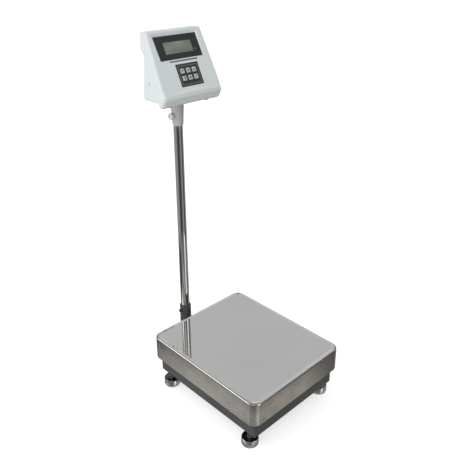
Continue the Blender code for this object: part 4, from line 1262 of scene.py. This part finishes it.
def window_and_display():
    tall = WINDOW_S[1] - WINDOW_S[0] - 2 * GAP
    across, up = LCD_X - WINDOW_X, WINDOW_MIDDLE - LCD_S
    outer = rounded_rectangle(WINDOW_W / 2, tall / 2, 0.0012, 4)
    inner = [(x + across, y + up)
             for x, y in rounded_rectangle(LCD_SIZE[0] / 2 - 0.001, LCD_SIZE[1] / 2 - 0.001, 0.001, 4)]
    low, high = GAP, GAP + 0.001
    rings = [[(x, y, low) for x, y in inner], [(x, y, low) for x, y in outer],
             [(x, y, high - 0.0002) for x, y in outer], [(x * 0.9985, y * 0.997, high) for x, y in outer],
             [(x, y, high) for x, y in inner]]
    lamp_at = window_at(0.0634, 0.068, GAP + 0.0008)
    piece("window_print", moved(loft(rings, looped=True), window_at(WINDOW_X, WINDOW_MIDDLE)), WINDOW,
          "indicator", "display_window", holes=[moved(rod(0.002, -0.002, 0.002), lamp_at)])
    dome = rounded([(0.0, 0.0002), (0.0012, 0.0001), (0.0017, -0.0003), (0.0017, -0.0005), (0.0, -0.0005)],
                   0.0002)
    piece("status_lamp", moved(revolve(dome), lamp_at), LED, "indicator", "status_led")
    glass = block((*LCD_SIZE, 0.006), (0, 0, -0.003), 0.0004, 2)
    piece("display_glass", moved(glass, window_at(LCD_X, LCD_S)), LCD, "indicator", "lcd_module")
    # The dark strip in the groove under the window is painted shade.
    shade_strip = block((0.1124, 0.0038, 0.001), (0, 0, -0.0014), 0.0003, 2)
    piece("painted_groove_shade", moved(shade_strip, face_at(STRIP_X, STRIP_S)), GROOVE_SHADE_TONE, "indicator")


MARK_SCALE = 0.0013


def key_marks():
    """Plain marks for the six keys, as outlines about each key's middle, before MARK_SCALE."""
    square = [(-2.2, -2.2), (2.2, -2.2), (2.2, 2.2), (-2.2, 2.2)]
    triangle = [(-2.6, -2.0), (2.6, -2.0), (0.0, 2.6)]
    bar = [(-3.0, -0.7), (3.0, -0.7), (3.0, 0.7), (-3.0, 0.7)]
    upright = [(-0.7, -3.0), (0.7, -3.0), (0.7, 3.0), (-0.7, 3.0)]
    disc = [(x, y) for x, y, _ in circle(2.4, 0.0, 24)]
    drop = [(-2.6, 2.0), (0.0, -2.6), (2.6, 2.0)]
    return [[bar, [(x, y + 2.6) for x, y in bar]], [disc], [triangle],
            [upright, [(x + 2.4, y) for x, y in upright]], [square], [drop]]


def keypad():
    low = PANEL_SEAT + GAP
    top = low + PANEL_T
    keys = [(row, number, KEY_X + (number - 2) * KEY_PITCH, s)
            for row, s in enumerate(KEY_S, 1) for number in (1, 2, 3)]
    opening = (KEY_SIZE + 0.0007, KEY_SIZE + 0.0007)
    piece("keypad_film", moved(pocket(PANEL_SIZE, 0.001, low, top), face_at(PANEL_X, PANEL_S)), PANEL,
          "indicator", "keypad_panel",
          holes=[moved(pocket(opening, 0.0012, -0.01, 0.01), face_at(x, s)) for _, _, x, s in keys])

    rings = [flat_ring(PANEL_SIZE, inset, 0.0015, height)
             for inset, height in ((0.006, -0.0002), (0.006, 0.00008), (0.0069, 0.00008), (0.0069, -0.0002))]
    place = face_at(PANEL_X - 0.0005, PANEL_S, top)
    piece("keypad_border", moved(loft(rings, looped=True), place), PRINT_LIGHT, "indicator")

    depth = 0.0044
    cap = [(0.0008, -depth), (0.0, -depth + 0.0006), (0.0, -0.001), (0.00025, -0.0004), (0.0008, -0.0001),
           (0.0016, 0.0), (0.0045, -0.00025), (0.0068, -0.0003)]
    for (row, number, x, s), outlines in zip(keys, key_marks()):
        body = f"key_{row}_{number}"
        place = face_at(x, s, top + 0.0012)
        rings = [flat_ring((KEY_SIZE, KEY_SIZE), inset, max(0.0016 - inset * 0.3, 0.0008), height, 5)
                 for inset, height in cap]
        piece(f"{body}_cap", moved(loft(rings), place), KEYCAP, body, body)
        marks = [loft([[(x * MARK_SCALE - 0.0003, y * MARK_SCALE, height) for x, y in outline]
                       for height in (-0.0006, -0.00005)]) for outline in outlines]
        piece(f"{body}_mark", [moved(mark, place) for mark in marks], PRINT_DARK, body)


def housing_details():
    """Feet, screws and the power jack."""
    for word, side in SIDES:
        node = f"indicator_foot_{word}"
        width, _, tall = size_of(node)
        radius = width / 2
        profile = rounded([(0.0, 0.0), (radius - 0.0012, 0.0), (radius, tall * 0.5), (radius, tall),
                           (0.0, tall)], 0.0012)
        foot = moved(revolve(profile, 40), stand_of(node))
        piece(f"housing_foot_{word}", foot, FOOT_GREY, "indicator", node)

        node = f"housing_screw_{word}"
        radius = size_of(node)[1] / 2
        place = shift(*middle_of(node)) @ (TO_RIGHT if side > 0 else TO_LEFT)
        head = rounded([(0.0, 0.0007), (radius * 0.6, 0.0006), (radius, 0.0), (radius, -0.0007),
                        (0.0, -0.0007)], 0.0003)
        cross = [moved(block(size, (0, 0, 0.0006)), place)
                 for size in ((0.0042, 0.0009, 0.0009), (0.0009, 0.0042, 0.0009))]
        piece(f"side_screw_{word}", moved(revolve(head), place), SCREW_PAINT, "indicator", node, holes=cross)

    x, _, z = middle_of("charging_socket")
    place = shift(x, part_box("charging_socket")[1][1] - 0.004, z) @ TO_BACK
    profile = ring_rounded([(0.003, 0.004), (0.0062, 0.004), (0.0062, 0.0034), (0.005, 0.0034),
                            (0.005, -0.006), (0.003, -0.006)], 0.0003, 3)
    piece("power_jack", moved(revolve(profile, 48), place), RUBBER, "indicator", "charging_socket")
    pin = rounded([(0.0, 0.0026), (0.001, 0.0026), (0.001, -0.006), (0.0, -0.006)], 0.0004)
    piece("power_jack_pin", moved(revolve(pin, 24), place), ZINC, "indicator")


# ---------------------------------------------------------------- load cell lead


def smooth_route(points, step):
    """Points at even steps along a smooth curve through the route's own points."""
    last = len(points) - 1
    dense = []
    for i in range(last):
        p = [Vector(points[max(0, min(last, i + k))]) for k in (-1, 0, 1, 2)]
        for k in range(24):
            t = k / 24
            dense.append(0.5 * (2 * p[1] + (p[2] - p[0]) * t + (2 * p[0] - 5 * p[1] + 4 * p[2] - p[3]) * t * t
                                + (3 * p[1] - p[0] - 3 * p[2] + p[3]) * t ** 3))
    dense.append(Vector(points[-1]))
    route, walked = [dense[0]], 0.0
    for before, after in zip(dense, dense[1:]):
        walked += (after - before).length
        if walked >= step:
            route.append(after)
            walked = 0.0
    return route


def load_cell_lead():
    """From the cell's side, through the rear beam and the arm, and up inside the column."""
    level = ARM_MIDDLE
    rear = PLATTER_Y + BASE_D / 2
    route = smooth_route([
        (0.0212, PLATTER_Y - 0.035, 0.118), (0.03, PLATTER_Y - 0.034, 0.118),
        (0.036, PLATTER_Y + 0.005, 0.112),
        (0.034, PLATTER_Y + 0.08, 0.098), (0.02, PLATTER_Y + 0.14, 0.084), (0.005, PLATTER_Y + 0.18, level),
        (0.0, rear - 0.03, level), (0.0, rear, level), (0.0, rear + 0.04, level),
        (0.0, AXIS_Y - 0.02, level + 0.001), (0.0, AXIS_Y - 0.004, level + 0.01),
        (0.0, AXIS_Y, level + 0.026),
        (0.0, AXIS_Y, 0.2), (0.0, AXIS_Y, 0.5), (0.0, AXIS_Y, 0.8), (0.0, AXIS_Y, 1.03),
    ], 0.004)
    piece("load_cell_lead", tube_along(route, 0.0022), CABLE, "root", "load_cell_cable")


def remaining_nodes():
    """The board and the battery stay as the CAD has them, with finer materials."""
    for node, given in (("circuit_board", BOARD_MASK), ("battery", CELL_CASE)):
        for place in frame["nodes"][node].material_slots:
            place.material = given


platter_pan()
buffers_and_stops()
base_frame()
frame_welds()
rear_arm()
column_socket()
feet()
load_path()
column()
housing()
window_and_display()
keypad()
housing_details()
load_cell_lead()
remaining_nodes()
